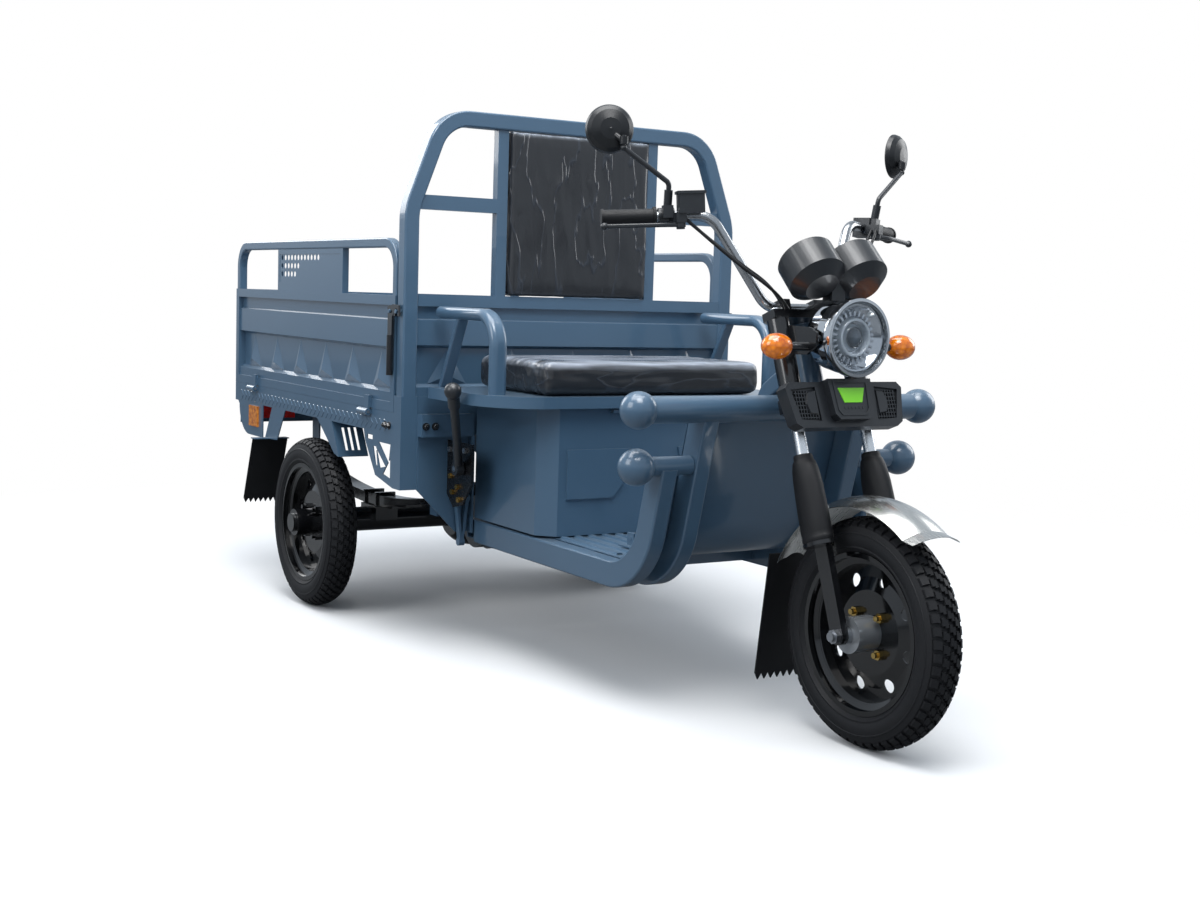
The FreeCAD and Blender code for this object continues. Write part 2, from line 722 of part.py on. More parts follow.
# Over-centre latches on the side gates
def gate_latch():
    """A flat latch lever with a hook over the keeper and a hanging handgrip."""
    y1 = -half_width - latch_lift
    y0 = y1 - latch_plate
    mid_x = (keeper_x + latch_pivot_x) / 2
    arm = plate_xz([(latch_pivot_x - 11, latch_z - 150), (latch_pivot_x + 11, latch_z - 150),
                    (latch_pivot_x + 13, latch_z - 14), (keeper_x - 16, latch_z - 4),
                    (keeper_x - 16, latch_z - 12), (keeper_x - 8, latch_z - 12),
                    (keeper_x - 7, latch_z + 7), (keeper_x + 7, latch_z + 7),
                    (keeper_x + 8, latch_z - 12), (keeper_x + 16, latch_z - 12),
                    (keeper_x + 12, latch_z + 16), (mid_x, latch_z + 18),
                    (latch_pivot_x - 13, latch_z + 12)], y0, y1)
    grip = rod(Vector(latch_pivot_x, (y0 + y1) / 2, latch_z - 162),
               Vector(latch_pivot_x, (y0 + y1) / 2, latch_z - 60), 9)
    grip = grip.common(block(latch_pivot_x - 20, latch_pivot_x + 20, y0 - 12, y1 + 1.5, 0, latch_z))
    hole = rod(Vector(latch_pivot_x, y0 - 20, latch_z), Vector(latch_pivot_x, y1 + 5, latch_z), 5 + run_gap)
    return cut(fuse([arm, grip]), [hole])


nodes["right_gate_latch"] = gate_latch()
nodes["left_gate_latch"] = mirrored(nodes["right_gate_latch"])

# Hinge pins of the gates and the tailgate
pin_head = 6.5
pin_solids = []
for spot in hinge_spots:
    pin = fuse([rod(Vector(spot - hinge_half, -hinge_y, hinge_z),
                    Vector(spot + hinge_half + 2, -hinge_y, hinge_z), hinge_pin_radius),
                rod(Vector(spot - hinge_half - 4, -hinge_y, hinge_z),
                    Vector(spot - hinge_half, -hinge_y, hinge_z), pin_head)])
    pin_solids += both_sides(pin)
for spot in tail_hinge_spots:
    pin_solids.append(fuse([rod(Vector(tail_hinge_x, spot - hinge_half, hinge_z),
                                Vector(tail_hinge_x, spot + hinge_half + 2, hinge_z), hinge_pin_radius),
                            rod(Vector(tail_hinge_x, spot - hinge_half - 4, hinge_z),
                                Vector(tail_hinge_x, spot - hinge_half, hinge_z), pin_head)]))
seat_pin_radius = 3.0
seat_hinge_z = seat_base_z - seat_hinge_radius - 1
seat_hinge_half = 26.0
for sign in (-1, 1):
    start = Vector(seat_hinge_x, sign * seat_hinge_y - seat_hinge_half, seat_hinge_z)
    pin_solids.append(rod(start, start.add(Vector(0, 2 * seat_hinge_half, 0)), seat_pin_radius))
nodes["hinge_pins"] = pin_solids

# Roll hoop with its cross bars and the uprights beside the backrest
hoop_crown = hoop_top - hoop_tube / 2
hoop_path = [Vector(hoop_mid_x, -hoop_post_y, hoop_foot), Vector(hoop_mid_x, -hoop_post_y, hoop_shoulder),
             Vector(hoop_mid_x, -hoop_crown_half, hoop_crown),
             Vector(hoop_mid_x, hoop_crown_half, hoop_crown),
             Vector(hoop_mid_x, hoop_post_y, hoop_shoulder), Vector(hoop_mid_x, hoop_post_y, hoop_foot)]
hoop_bends = [hoop_low_bend, hoop_high_bend, hoop_high_bend, hoop_low_bend]
hoop = box_tube(hoop_path, hoop_bends, x_axis, hoop_tube, hoop_tube, 5.0, tube_wall)
beam_top = hoop_foot + (hoop_shoulder - hoop_foot) * beam_share
beam_low = beam_top - beam_height
post_inner = hoop_post_y - hoop_tube / 2
bar_depth = 25.0
bar_z = hoop_shoulder + bar_height / 2
upright_y = backrest_half + seat_gap + upright_width / 2
bar_solids = []
beam = tube_block(box_front - hoop_tube + 2, box_front - 2, -post_inner, post_inner, beam_low, beam_top,
                  "y")
bar_back = hoop_mid_x - bar_depth / 2
for sign in (-1, 1):
    y_in, y_out = sign * (backrest_half + seat_gap), sign * (upright_y + upright_width / 2)
    bar_solids.append(tube_block(bar_back, bar_back + bar_depth, min(y_in, y_out), max(y_in, y_out),
                                 beam_top, hoop_top - hoop_tube, "z"))
    far = sign * (post_inner + 1)
    bar_solids.append(block(bar_back, bar_back + bar_depth, min(y_out, far), max(y_out, far),
                            bar_z - bar_height / 2, bar_z + bar_height / 2))
keepers = []
for sign in (-1, 1):
    keepers.append(rod(Vector(keeper_x, sign * (hoop_post_y + hoop_tube / 2), latch_z),
                       Vector(keeper_x, sign * (half_width + latch_lift + latch_plate + 3), latch_z), 5))
nodes["roll_hoop"] = [fuse([hoop, beam] + bar_solids)] + keepers

# Headboard: a pressed panel below the beam
headboard = pressed_panel(-post_inner + seat_gap, post_inner - seat_gap, hoop_foot, beam_low - seat_gap,
                          rib_count - 1)
headboard.rotate(origin, z_axis, 90)
headboard.translate(Vector(box_front, 0, 0))
headboard_foot = block(box_front - corner_post, box_front - tube_wall, -post_inner + 4, post_inner - 4,
                       bed_height, hoop_foot)
headboard_foot = headboard_foot.cut(block(box_front - corner_post + sheet, box_front - tube_wall - sheet,
                                          -half_width, half_width, bed_height + sheet, hoop_foot - sheet))
nodes["headboard"] = [headboard, headboard_foot]


# Cushions: crowned faces and drawn-in sides
def cushion(half_y, depth, height, crown, draw):
    """An upholstered block, lofted up through rounded outlines that swell and draw in."""
    def outline(level, inset):
        side, front = half_y - inset, depth / 2 - inset
        bow = draw - inset / 3
        corner = 22.0
        edges = []
        spots = []
        for sx, sy in ((1, 1), (1, -1), (-1, -1), (-1, 1)):
            near = Vector(sx * front, sy * (side - corner), level)
            mid = Vector(sx * (front - corner * 0.3), sy * (side - corner * 0.3), level)
            far = Vector(sx * (front - corner), sy * side, level)
            spots.append((far, mid, near) if sx * sy > 0 else (near, mid, far))
        for index, (first, mid, last) in enumerate(spots):
            following = spots[(index + 1) % 4][0]
            middle = (last + following) * 0.5
            pull = Vector(middle.x, middle.y, 0).normalize() * max(bow, 0.5)
            edges.append(Part.Arc(first, mid, last).toShape())
            edges.append(Part.Arc(last, middle - pull, following).toShape())
        return Part.Wire(edges)

    flank = height - crown
    levels = [(0, 6), (flank * 0.12, 2), (flank * 0.35, 0), (flank * 0.6, 0), (flank * 0.8, 2),
              (flank * 0.92, 7), (flank, 15), (flank + crown * 0.45, 36), (flank + crown * 0.8, 68),
              (height, 120)]
    return Part.makeLoft([outline(level, inset) for level, inset in levels], True, True)


backrest_low = beam_top + seat_gap
backrest_tall = hoop_top - hoop_tube - seat_gap - backrest_low
backrest = cushion(backrest_half - seat_gap, backrest_tall - 2 * seat_gap, backrest_depth, 8, 4)
backrest.rotate(origin, y_axis, 90)
backrest_back = box_front + 10 - backrest_depth
backrest.translate(Vector(backrest_back, 0, backrest_low + backrest_tall / 2))
nodes["backrest_cushion"] = backrest


# Front curve shared by the footwell tubes, the shield and the spine
lean = math.radians(front_lean)
curve_centre_z = floor_mid + front_bend_radius
curve_end_x = front_bend_x + front_bend_radius * math.cos(lean)
curve_end_z = curve_centre_z - front_bend_radius * math.sin(lean)


def front_curve(start_x, top_z, inward, y):
    """Points and bend of the line that runs along the floor and up the front, moved inward."""
    edge_x = curve_end_x - inward * math.cos(lean)
    edge_z = curve_end_z + inward * math.sin(lean)
    base_z = floor_mid + inward
    corner_x = edge_x - (edge_z - base_z) * math.tan(lean)
    top_x = edge_x + (top_z - edge_z) * math.tan(lean)
    points = [Vector(start_x, y, base_z), Vector(corner_x, y, base_z), Vector(top_x, y, top_z)]
    return points, [front_bend_radius - inward]


def front_x(z, inward):
    """How far forward the straight part of the front curve is at a height."""
    edge_z = curve_end_z + inward * math.sin(lean)
    return curve_end_x - inward * math.cos(lean) + (z - edge_z) * math.tan(lean)


upper_bar_x = front_x(upper_bar_z, 0) + 10
lower_bar_x = front_x(lower_bar_z, 0) + 6
frame_tubes = []
for sign in (-1, 1):
    points, bends = front_curve(footwell_rear, lower_bar_z, 0, sign * outer_tube_y)
    outer_tube = box_tube(points, bends, y_axis, floor_tube_width, floor_tube_depth, 5.0, tube_wall)
    stub = rod(Vector(lower_bar_x, -lower_bar_half, lower_bar_z),
               Vector(lower_bar_x, -lower_bar_half + lower_bar_stub, lower_bar_z), lower_bar_radius)
    frame_tubes.append(outer_tube.cut(stub if sign < 0 else mirrored(stub)))
    points, bends = front_curve(footwell_rear + 140, upper_bar_z, 0, sign * inner_tube_y)
    inner_tube = box_tube(points, bends, y_axis, floor_tube_width, floor_tube_depth, 5.0, tube_wall)
    frame_tubes.append(inner_tube.cut(rod(Vector(upper_bar_x, -upper_bar_half, upper_bar_z),
                                          Vector(upper_bar_x, upper_bar_half, upper_bar_z),
                                          upper_bar_radius)))
nodes["footwell_frame"] = frame_tubes

# Bumper bars with ball ends: one long upper bar and two short lower ones
upper_bar = rod(Vector(upper_bar_x, -upper_bar_half, upper_bar_z),
                Vector(upper_bar_x, upper_bar_half, upper_bar_z), upper_bar_radius)
upper_balls = [Part.makeSphere(ball_radius, Vector(upper_bar_x, sign * upper_bar_half, upper_bar_z))
               for sign in (-1, 1)]
lower_bar = fuse([rod(Vector(lower_bar_x, -lower_bar_half, lower_bar_z),
                      Vector(lower_bar_x, -lower_bar_half + lower_bar_stub, lower_bar_z), lower_bar_radius),
                  Part.makeSphere(ball_radius, Vector(lower_bar_x, -lower_bar_half, lower_bar_z))])
nodes["bumper_bars"] = [fuse([upper_bar] + upper_balls)] + both_sides(lower_bar)

# Front shield: a curved sheet on the inner face of the tubes, wide below and narrow above
shield_inward = floor_tube_depth / 2 + sheet / 2
shield_low_top = lower_bar_z - lower_bar_radius - 6
shield_high_top = upper_bar_z + 8


def shield_sheet(top_z, half):
    """A curved sheet of even thickness and the given half width."""
    points, bends = front_curve(front_bend_x - 40, top_z, shield_inward, 0)
    return box_tube(points, bends, y_axis, 2 * half, sheet, sheet * 0.2)


shield_half_low = outer_tube_y - floor_tube_width / 2
shield_half_high = inner_tube_y + floor_tube_width / 2
shield = fuse([shield_sheet(shield_low_top, shield_half_low),
               shield_sheet(shield_high_top, shield_half_high)])
bar_room = rod(Vector(upper_bar_x, -upper_bar_half, upper_bar_z),
               Vector(upper_bar_x, upper_bar_half, upper_bar_z), upper_bar_radius + seat_gap)
nodes["front_shield"] = shield.cut(bar_room)

# Footwell floor: a ribbed sheet between the outer tubes
floor_half = outer_tube_y - floor_tube_width / 2 - seat_gap
tread_count = 14
tread_half = 9.0
tread_rise = 4.0
floor_line = [(-floor_half, floor_top)]
for index in range(tread_count):
    middle = -floor_half + (index + 0.5) * 2 * floor_half / tread_count
    floor_line += [(middle - tread_half, floor_top), (middle - tread_half + 3, floor_top + tread_rise),
                   (middle + tread_half - 3, floor_top + tread_rise), (middle + tread_half, floor_top)]
floor_line.append((floor_half, floor_top))
floor_outline = floor_line + [(y, z + sheet) for y, z in reversed(floor_line)]
nodes["footwell_floor"] = plate_yz(floor_outline, footwell_rear + 14, front_bend_x - 40)

# Chassis: bed rails, down tubes, cross members, spring brackets, spine, neck and head tube
rail_mid_z = rail_low + floor_tube_depth / 2
rail_join_x = 490.0
rail_foot_x = 604.0
down_join_x = footwell_rear + 140
rail_path = [Vector(-box_rear + 60, -inner_tube_y, rail_mid_z),
             Vector(rail_join_x, -inner_tube_y, rail_mid_z),
             Vector(rail_foot_x, -inner_tube_y, floor_mid), Vector(down_join_x, -inner_tube_y, floor_mid)]
main_rail = box_tube(rail_path, [60.0, 60.0], y_axis, floor_tube_width, floor_tube_depth, 5.0, tube_wall)
rail_inner = inner_tube_y - floor_tube_width / 2
rail_outer = inner_tube_y + floor_tube_width / 2
spring_y = 300.0
spring_half = 430.0
spring_eye_z = 330.0
eye_radius = 16.0
spring_width = 50.0
chassis = []
for length in split_at_bends(main_rail, rail_path):
    chassis += both_sides(length)
cross_spots = (-spring_half, 0.0, spring_half)
for spot in cross_spots:
    chassis.append(tube_block(spot - 20, spot + 20, -rail_inner, rail_inner, rail_low + 6, sill_low - 6,
                              "y"))
bracket_half = spring_width / 2 + 6
for sign in (-1, 1):
    for spot in (-spring_half, spring_half):
        shelf = block(spot - 30, spot + 30, sign * rail_outer, sign * (spring_y + bracket_half),
                      sill_low - 8, sill_low)
        cheeks = []
        for edge in (-bracket_half, bracket_half - 5):
            low_y = sign * spring_y + edge
            cheeks.append(plate_xz([(spot - 30, sill_low - 8), (spot + 30, sill_low - 8),
                                    (spot + 22, spring_eye_z - 22), (spot - 22, spring_eye_z - 22)],
                                   low_y, low_y + 5))
        chassis += [shelf] + cheeks
floor_member_spots = (footwell_rear + 160, 960.0, 1140.0)
outer_inner = outer_tube_y - floor_tube_width / 2
for spot in floor_member_spots:
    chassis.append(tube_block(spot - 20, spot + 20, -rail_inner, rail_inner, floor_tube_base + 10,
                              floor_top, "y"))
    for sign in (-1, 1):
        near, far = sorted((sign * rail_outer, sign * outer_inner))
        chassis.append(tube_block(spot - 20, spot + 20, near, far, floor_tube_base + 10, floor_top, "y"))
rear_tie = tube_block(footwell_rear - 40, footwell_rear, -outer_tube_y - floor_tube_width / 2,
                      outer_tube_y + floor_tube_width / 2, floor_tube_base + 10, floor_top, "y")
rail_room = [block(footwell_rear - 60, footwell_rear + 20,
                   sign * inner_tube_y - floor_tube_width / 2 - seat_gap, sign * inner_tube_y
                   + floor_tube_width / 2 + seat_gap, floor_tube_base - 40, floor_top + 200)
             for sign in (-1, 1)]
chassis += cut(rear_tie, rail_room).Solids

arm_pivot_x = box_front + 20
arm_pivot_z = 380.0
arm_pin_radius = 8.0
arm_outer_y = battery_box_half + 52
lever_plate_x = box_front
lever_plate_outer = half_width - corner_post
for sign in (-1, 1):
    plate = plate_yz([(-lever_plate_outer, bed_height - sill_height),
                      (-battery_box_half - 4, bed_height - sill_height),
                      (-battery_box_half - 4, floor_top - 34), (-battery_box_half - 40, floor_top - 34),
                      (-lever_plate_outer, corner_post_foot)], lever_plate_x, lever_plate_x + 5)
    tie = block(lever_plate_x + 5, footwell_rear, -battery_box_half - 9, -battery_box_half - 4,
                floor_top - 34, sill_low)
    arm_pin = rod(Vector(arm_pivot_x, -battery_box_half - 5, arm_pivot_z),
                  Vector(arm_pivot_x, -arm_outer_y, arm_pivot_z), arm_pin_radius)
    beam_strip = block(lever_plate_x, lever_plate_x + 30, -lever_plate_outer, -battery_box_half - 4,
                       sill_low, bed_height)
    support = fuse([plate, tie, beam_strip] + ([arm_pin] if sign < 0 else []))
    chassis.append(support if sign < 0 else mirrored(support))

spine_width = 46.0
spine_inward = floor_tube_depth / 2 + sheet + 20 + seat_gap
neck_top = fork_point(-fork_offset, 0, lower_yoke_high + 95)
spine_points, spine_bends = front_curve(front_bend_x - 40, upper_bar_z + 30, spine_inward, 0)
spine_points = spine_points + [neck_top]
spine_bends = spine_bends + [45.0]
spine = box_tube(spine_points, spine_bends, y_axis, spine_width, 38.0, 5.0, tube_wall)
head_low, head_high = lower_yoke_high + seat_gap, upper_yoke_low - seat_gap
head_tube = fuse([Part.makeCylinder(head_tube_radius, head_high - head_low,
                                    Vector(-fork_offset, 0, head_low)),
                  Part.makeCylinder(head_tube_radius + 5, 14, Vector(-fork_offset, 0, head_low)),
                  Part.makeCylinder(head_tube_radius + 5, 14, Vector(-fork_offset, 0, head_high - 14))])
stem_bore = Part.makeCylinder(stem_radius + run_gap, 400, Vector(-fork_offset, 0, head_low - 100))
head_tube, stem_bore = fork_frame(head_tube), fork_frame(stem_bore)
spine_lengths = split_at_bends(spine, spine_points)
chassis += spine_lengths[:-1]
chassis.append(fuse([spine_lengths[-1], head_tube]).cut(stem_bore))
nodes["chassis_frame"] = chassis

# Battery box: an open-topped sheet tray with chamfered front corners and a pressed front
tray_low = floor_top + sheet + tread_rise
tray_high = seat_base_z - 0.5
tray_rear = box_front + 36
chamfer = battery_box_chamfer


def tray_outline(inset):
    """Outline of the battery box from above, moved in by a wall."""
    side, front = battery_box_half - inset, battery_box_front - inset
    knee = chamfer - inset * 0.4
    return [(tray_rear + inset, -side), (front - knee, -side), (front, -side + knee), (front, side - knee),
            (front - knee, side), (tray_rear + inset, side)]


tray = plate_xy(tray_outline(0), tray_low, tray_high)
tray = tray.cut(plate_xy(tray_outline(sheet), tray_low + sheet, tray_high + 1))
press_low, press_high = tray_low + 90, tray_high - 100
for sign in (-1, 1):
    boss = plate_yz([(sign * 250, press_low), (sign * 120, press_low), (sign * 92, press_low + 34),
                     (sign * 70, press_high), (sign * 250, press_high)], battery_box_front,
                    battery_box_front + 6)
    tray = fuse([tray, boss])
for sign in (-1, 1):
    start = Vector(seat_hinge_x, sign * seat_hinge_y - seat_hinge_half, seat_hinge_z)
    barrel = rod(start, start.add(Vector(0, seat_hinge_half - seat_gap, 0)), seat_hinge_radius)
    leaf = block(battery_box_front - sheet, seat_hinge_x, start.y, start.y + seat_hinge_half - seat_gap,
                 seat_hinge_z - seat_hinge_radius, seat_hinge_z - 2)
    bore = rod(start.sub(y_axis), start.add(Vector(0, seat_hinge_half, 0)), seat_pin_radius)
    tray = fuse([tray, barrel, leaf]).cut(bore)
nodes["battery_box"] = tray

# Battery blocks and the motor controller inside the box
block_count = 5
block_gap = 6.0
pack_rear, pack_front = tray_rear + 90, battery_box_front - 60
block_width = (2 * battery_box_half - 2 * chamfer - (block_count - 1) * block_gap) / block_count
block_tall = 210.0
blocks = []
for index in range(block_count):
    low_y = -battery_box_half + chamfer + index * (block_width + block_gap)
    base = tray_low + sheet
    case = block(pack_rear, pack_front, low_y, low_y + block_width, base, base + block_tall)
    posts = []
    for spot in (pack_rear + 26, pack_front - 26):
        posts.append(rod(Vector(spot, low_y + block_width / 2, base + block_tall - 1),
                         Vector(spot, low_y + block_width / 2, base + block_tall + 14), 8))
    blocks.append(fuse([case] + posts))
controller_base = tray_low + sheet
case = block(tray_rear + 12, tray_rear + 62, -130, 130, controller_base, controller_base + 120)
fins = [block(tray_rear + 62, tray_rear + 74, y - 2, y + 2, controller_base + 6, controller_base + 114)
        for y in range(-120, 121, 16)]
nodes["battery_pack"] = blocks + [fuse([case] + fins)]

# Seat platform: a sheet pan on hinges, with an armrest at each end
sweep_start = platform_front - 143
sweep_y = cushion_half + 7
rear_corner = 22.0


def platform_wire(inset, level):
    """Outline of the seat platform from above, moved in by a wall."""
    half, front, rear = platform_half - inset, platform_front - inset, platform_rear + inset
    edges = []
    for sign in (-1, 1):
        side = [Vector(rear, sign * (half - rear_corner), level),
                Vector(rear + rear_corner * 0.3, sign * (half - rear_corner * 0.3), level),
                Vector(rear + rear_corner, sign * half, level), Vector(sweep_start, sign * half, level),
                Vector(sweep_start + platform_corner - inset * 0.7, sign * (half - 37 + inset * 0.3),
                       level), Vector(front, sign * (sweep_y - inset * 0.5), level)]
        edges.append(Part.Arc(side[0], side[1], side[2]).toShape())
        edges.append(Part.LineSegment(side[2], side[3]).toShape())
        edges.append(Part.Arc(side[3], side[4], side[5]).toShape())
    edges.append(Part.LineSegment(Vector(front, -sweep_y + inset * 0.5, level),
                                  Vector(front, sweep_y - inset * 0.5, level)).toShape())
    edges.append(Part.LineSegment(Vector(rear, -half + rear_corner, level),
                                  Vector(rear, half - rear_corner, level)).toShape())
    return Part.Wire(Part.sortEdges(edges)[0])


pan_wall = 3.0
pan = Part.Face(platform_wire(0, seat_base_z)).extrude(Vector(0, 0, platform_thick))
pan_pocket = Part.Face(platform_wire(pan_wall, seat_base_z - 1)).extrude(Vector(0, 0, platform_thick
                                                                                + 1 - pan_wall))
pan = pan.cut(pan_pocket)
rest_bars = []
for sign in (-1, 1):
    rest_bars.append(block(platform_rear + 1, platform_front - 60, sign * (battery_box_half - 14),
                           sign * (battery_box_half + 10), seat_base_z, platform_top - 1))
seat_pieces = [pan] + rest_bars
seat_bores = []
for sign in (-1, 1):
    start = Vector(seat_hinge_x, sign * seat_hinge_y + seat_gap, seat_hinge_z)
    end = start.add(Vector(0, seat_hinge_half - seat_gap, 0))
    seat_pieces.append(rod(start, end, seat_hinge_radius))
    seat_pieces.append(block(seat_hinge_x, seat_hinge_x + seat_hinge_radius, start.y, end.y, seat_hinge_z,
                             platform_top - 1))
    seat_bores.append(rod(start.sub(y_axis), end.add(y_axis), seat_pin_radius + run_gap))
arm_mid_z = armrest_top - armrest_depth / 2
oval_corner = armrest_depth / 2 - 0.1
strut_foot_x = platform_rear + 14
strut_top_x = platform_rear + 117
strut_width = 30.0
strut_thick = 14.0
for sign in (-1, 1):
    arm_y = sign * armrest_y
    arm_line = [Vector(armrest_rear, arm_y, arm_mid_z), Vector(armrest_front, arm_y, arm_mid_z),
                Vector(armrest_front, arm_y, platform_top - 1)]
    seat_pieces.append(box_tube(arm_line, [armrest_bend], y_axis, armrest_width, armrest_depth,
                                oval_corner))
    seat_pieces.append(box_tube([Vector(strut_foot_x, arm_y, platform_top - 1),
                                 Vector(strut_top_x, arm_y, arm_mid_z)], [], y_axis, strut_width,
                                strut_thick))
nodes["seat_platform"] = cut(fuse(seat_pieces), seat_bores)

# Seat cushion
cushion_crown = 9.0
seat_cushion = cushion(cushion_half, cushion_front - cushion_rear, cushion_height + cushion_crown,
                       cushion_crown, 4)
seat_cushion.translate(Vector((cushion_front + cushion_rear) / 2, 0, platform_top))
nodes["seat_cushion"] = seat_cushion

# Rear mudguard strips with slotted cross plates, and the rubber flaps that hang from them
guard_thick = 3.0
guard_y = half_width
guard_inner = half_width - 88
front_strip = plate_xz([(30, sill_low), (135, sill_low), (190, 445), (160, 452)], -guard_y, -guard_y
                       + guard_thick)
slot_plate = plate_xz([(135, sill_low), (190, 445), (193, 446.5), (138, sill_low)], -guard_y, -guard_inner)
slit_low, slit_high = 462.0, 522.0
slit_half = 4.0
slots = []
for inset in (29.0, 47.0, 65.0):
    slots.append(block(100, 220, -guard_y + inset - slit_half, -guard_y + inset + slit_half,
                       slit_low, slit_high))
front_guard = cut(fuse([front_strip, slot_plate]), slots)
flap_y_outer = half_track + tyre_width / 2 + 6
flap_y_inner = half_track - tyre_width / 2 - 14
hanger_z = 441.0
rear_strip = plate_xz([(-339, sill_low), (-227, sill_low), (-293, 445), (-399, hanger_z)], -guard_y,
                      -guard_y + guard_thick)
hanger = block(-402, -370, -flap_y_outer, -flap_y_inner, hanger_z, hanger_z + guard_thick)
rear_guard = fuse([rear_strip, hanger])
nodes["rear_mudguards"] = both_sides(front_guard) + both_sides(rear_guard)

flap_top = Vector(-386, 0, hanger_z)
flap_low = Vector(-470, 0, 235)
flap_thick = 4.0
tooth_count = 7
flap_drop = flap_top.z - flap_low.z
flap_reach = math.hypot(flap_drop, flap_low.x - flap_top.x)
flap_tooth = 16.0


def toothed_sheet(y0, y1, length, thick, teeth, tooth):
    """A flat rubber sheet hanging down from z = 0, with a toothed lower edge."""
    points = [(y0, 0), (y1, 0)]
    pitch = (y1 - y0) / teeth
    for index in range(teeth):
        points.append((y1 - index * pitch, -length + tooth))
        points.append((y1 - (index + 0.5) * pitch, -length))
    points.append((y0, -length + tooth))
    return plate_yz(points, -thick / 2, thick / 2)


rear_flap = toothed_sheet(-flap_y_outer, -flap_y_inner, flap_reach, flap_thick, tooth_count, flap_tooth)
rear_flap.rotate(origin, y_axis, math.degrees(math.atan2(flap_top.x - flap_low.x, flap_drop)))
rear_flap.translate(flap_top)
rear_flap = rear_flap.cut(block(-440, -340, -flap_y_outer - 1, -flap_y_inner + 1, hanger_z, hanger_z + 10))
nodes["rear_mud_flaps"] = both_sides(rear_flap)

# Tail lamps in the panel windows and amber side markers
lens_rise = 12.0
lamp_solids = []
for sign in (-1, 1):
    mid_y = sign * tail_lamp_y
    lens = block(tail_panel_x - lens_rise, tail_panel_x, mid_y - tail_lamp_half, mid_y + tail_lamp_half,
                 tail_lamp_z - 24, tail_lamp_z + 24)
    back = block(tail_panel_x, tail_panel_x + sheet, mid_y - tail_lamp_half + 4, mid_y + tail_lamp_half - 4,
                 tail_lamp_z - 20, tail_lamp_z + 20)
    lamp_solids.append(fuse([lens, back]))
marker_lens = fuse([block(marker_x - 42, marker_x + 34, -half_width - 6, -half_width + 3, marker_z - 32,
                          marker_z + 32), block(marker_x - 50, marker_x + 42, -half_width + 3, -half_width
                                                + 6, marker_z - 36, marker_z + 36)])
nodes["rear_lamps"] = lamp_solids + both_sides(marker_lens)

# Gear lever on a side plate, with the bolts of the linkage behind it
quadrant_out = 60.0
quadrant_y = battery_box_half + quadrant_out
quadrant_thick = 6.0
gear_pivot = Vector(690, -quadrant_y - 19, 465)
gear_pin_radius = 7.0
quadrant = plate_xz([(lever_plate_x + 5, 530), (740, 530), (740, 430), (690, 372), (640, 360),
                     (lever_plate_x + 5, 392)], -quadrant_y - quadrant_thick, -quadrant_y)
gear_pin = rod(Vector(gear_pivot.x, -quadrant_y, gear_pivot.z),
               Vector(gear_pivot.x, gear_pivot.y - 12, gear_pivot.z), gear_pin_radius)
bolt_spots = ((622, 508), (652, 508), (706, 512), (628, 440), (640, 400), (668, 416), (676, 384))
bolts = [hexagon(Vector(x, -quadrant_y - quadrant_thick - 7, z), y_axis, 13, 8) for x, z in bolt_spots]
nodes["gear_quadrant"] = fuse([quadrant, gear_pin] + bolts)

lever_rod = 11.0
gear_bend_out = 48.0
gear_top_out = 114.0
gear_bend = Vector(740, -quadrant_y - gear_bend_out, 542)
gear_top = Vector(844, -quadrant_y - gear_top_out, 672)
gear_sleeve = rod(gear_pivot.add(Vector(0, -10, 0)), gear_pivot.add(Vector(0, 10, 0)), 17)
lever_start = Vector(gear_pivot.x + 4, gear_pivot.y - 2, gear_pivot.z + 9)
gear_stick = round_tube([lever_start, gear_bend, gear_top], [60.0], lever_rod)
gear_knob = fuse([Part.makeSphere(21, gear_top),
                  rod(gear_top.sub((gear_top - gear_bend) * 0.3), gear_top, 15)])
gear_bore = rod(gear_pivot.add(Vector(0, -24, 0)), gear_pivot.add(Vector(0, 14, 0)), gear_pin_radius
                + run_gap)
nodes["gear_lever"] = fuse([gear_sleeve, gear_stick, gear_knob]).cut(gear_bore)

# Foot brake pedal with its floor bracket, and the brake arm below the lever plate
pedal_pivot = Vector(1180, -170, floor_top + 26)
pedal_pin = 6.0
pedal_width = 20.0
cheek_thick = 5.0
bracket_base = floor_top + sheet + tread_rise
bracket = [block(pedal_pivot.x - 30, pedal_pivot.x + 30, pedal_pivot.y - 30, pedal_pivot.y + 30,
                 bracket_base, bracket_base + 4)]
for sign in (-1, 1):
    near = pedal_pivot.y + sign * (pedal_width / 2 + seat_gap)
    far = near + sign * cheek_thick
    bracket.append(block(pedal_pivot.x - 14, pedal_pivot.x + 14, near, far, bracket_base + 3,
                         pedal_pivot.z + 13))
bracket.append(rod(pedal_pivot.sub(Vector(0, 16, 0)), pedal_pivot.add(Vector(0, 16, 0)), pedal_pin))
nodes["footwell_floor"] = [nodes["footwell_floor"], fuse(bracket)]

pedal_pad = Vector(1290, pedal_pivot.y, 430)
pedal_sleeve = rod(pedal_pivot.sub(Vector(0, pedal_width / 2, 0)),
                   pedal_pivot.add(Vector(0, pedal_width / 2, 0)), 12)
pedal_bar = box_tube([pedal_pivot.add(Vector(6, 0, 6)), Vector(1262, pedal_pivot.y, 372), pedal_pad],
                     [30.0], y_axis, 12, 16)
pad = block(-4, 6, -38, 38, -30, 30)
pad = fuse([pad] + [block(-8, -4, -34, 34, z - 3, z + 3) for z in (-20, -7, 7, 20)])
pad.rotate(origin, y_axis, -24)
pad.translate(pedal_pad)
pedal_bore = rod(pedal_pivot.sub(Vector(0, 30, 0)), pedal_pivot.add(Vector(0, 30, 0)), pedal_pin + run_gap)
nodes["brake_pedal"] = fuse([pedal_sleeve, pedal_bar, pad]).cut(pedal_bore)

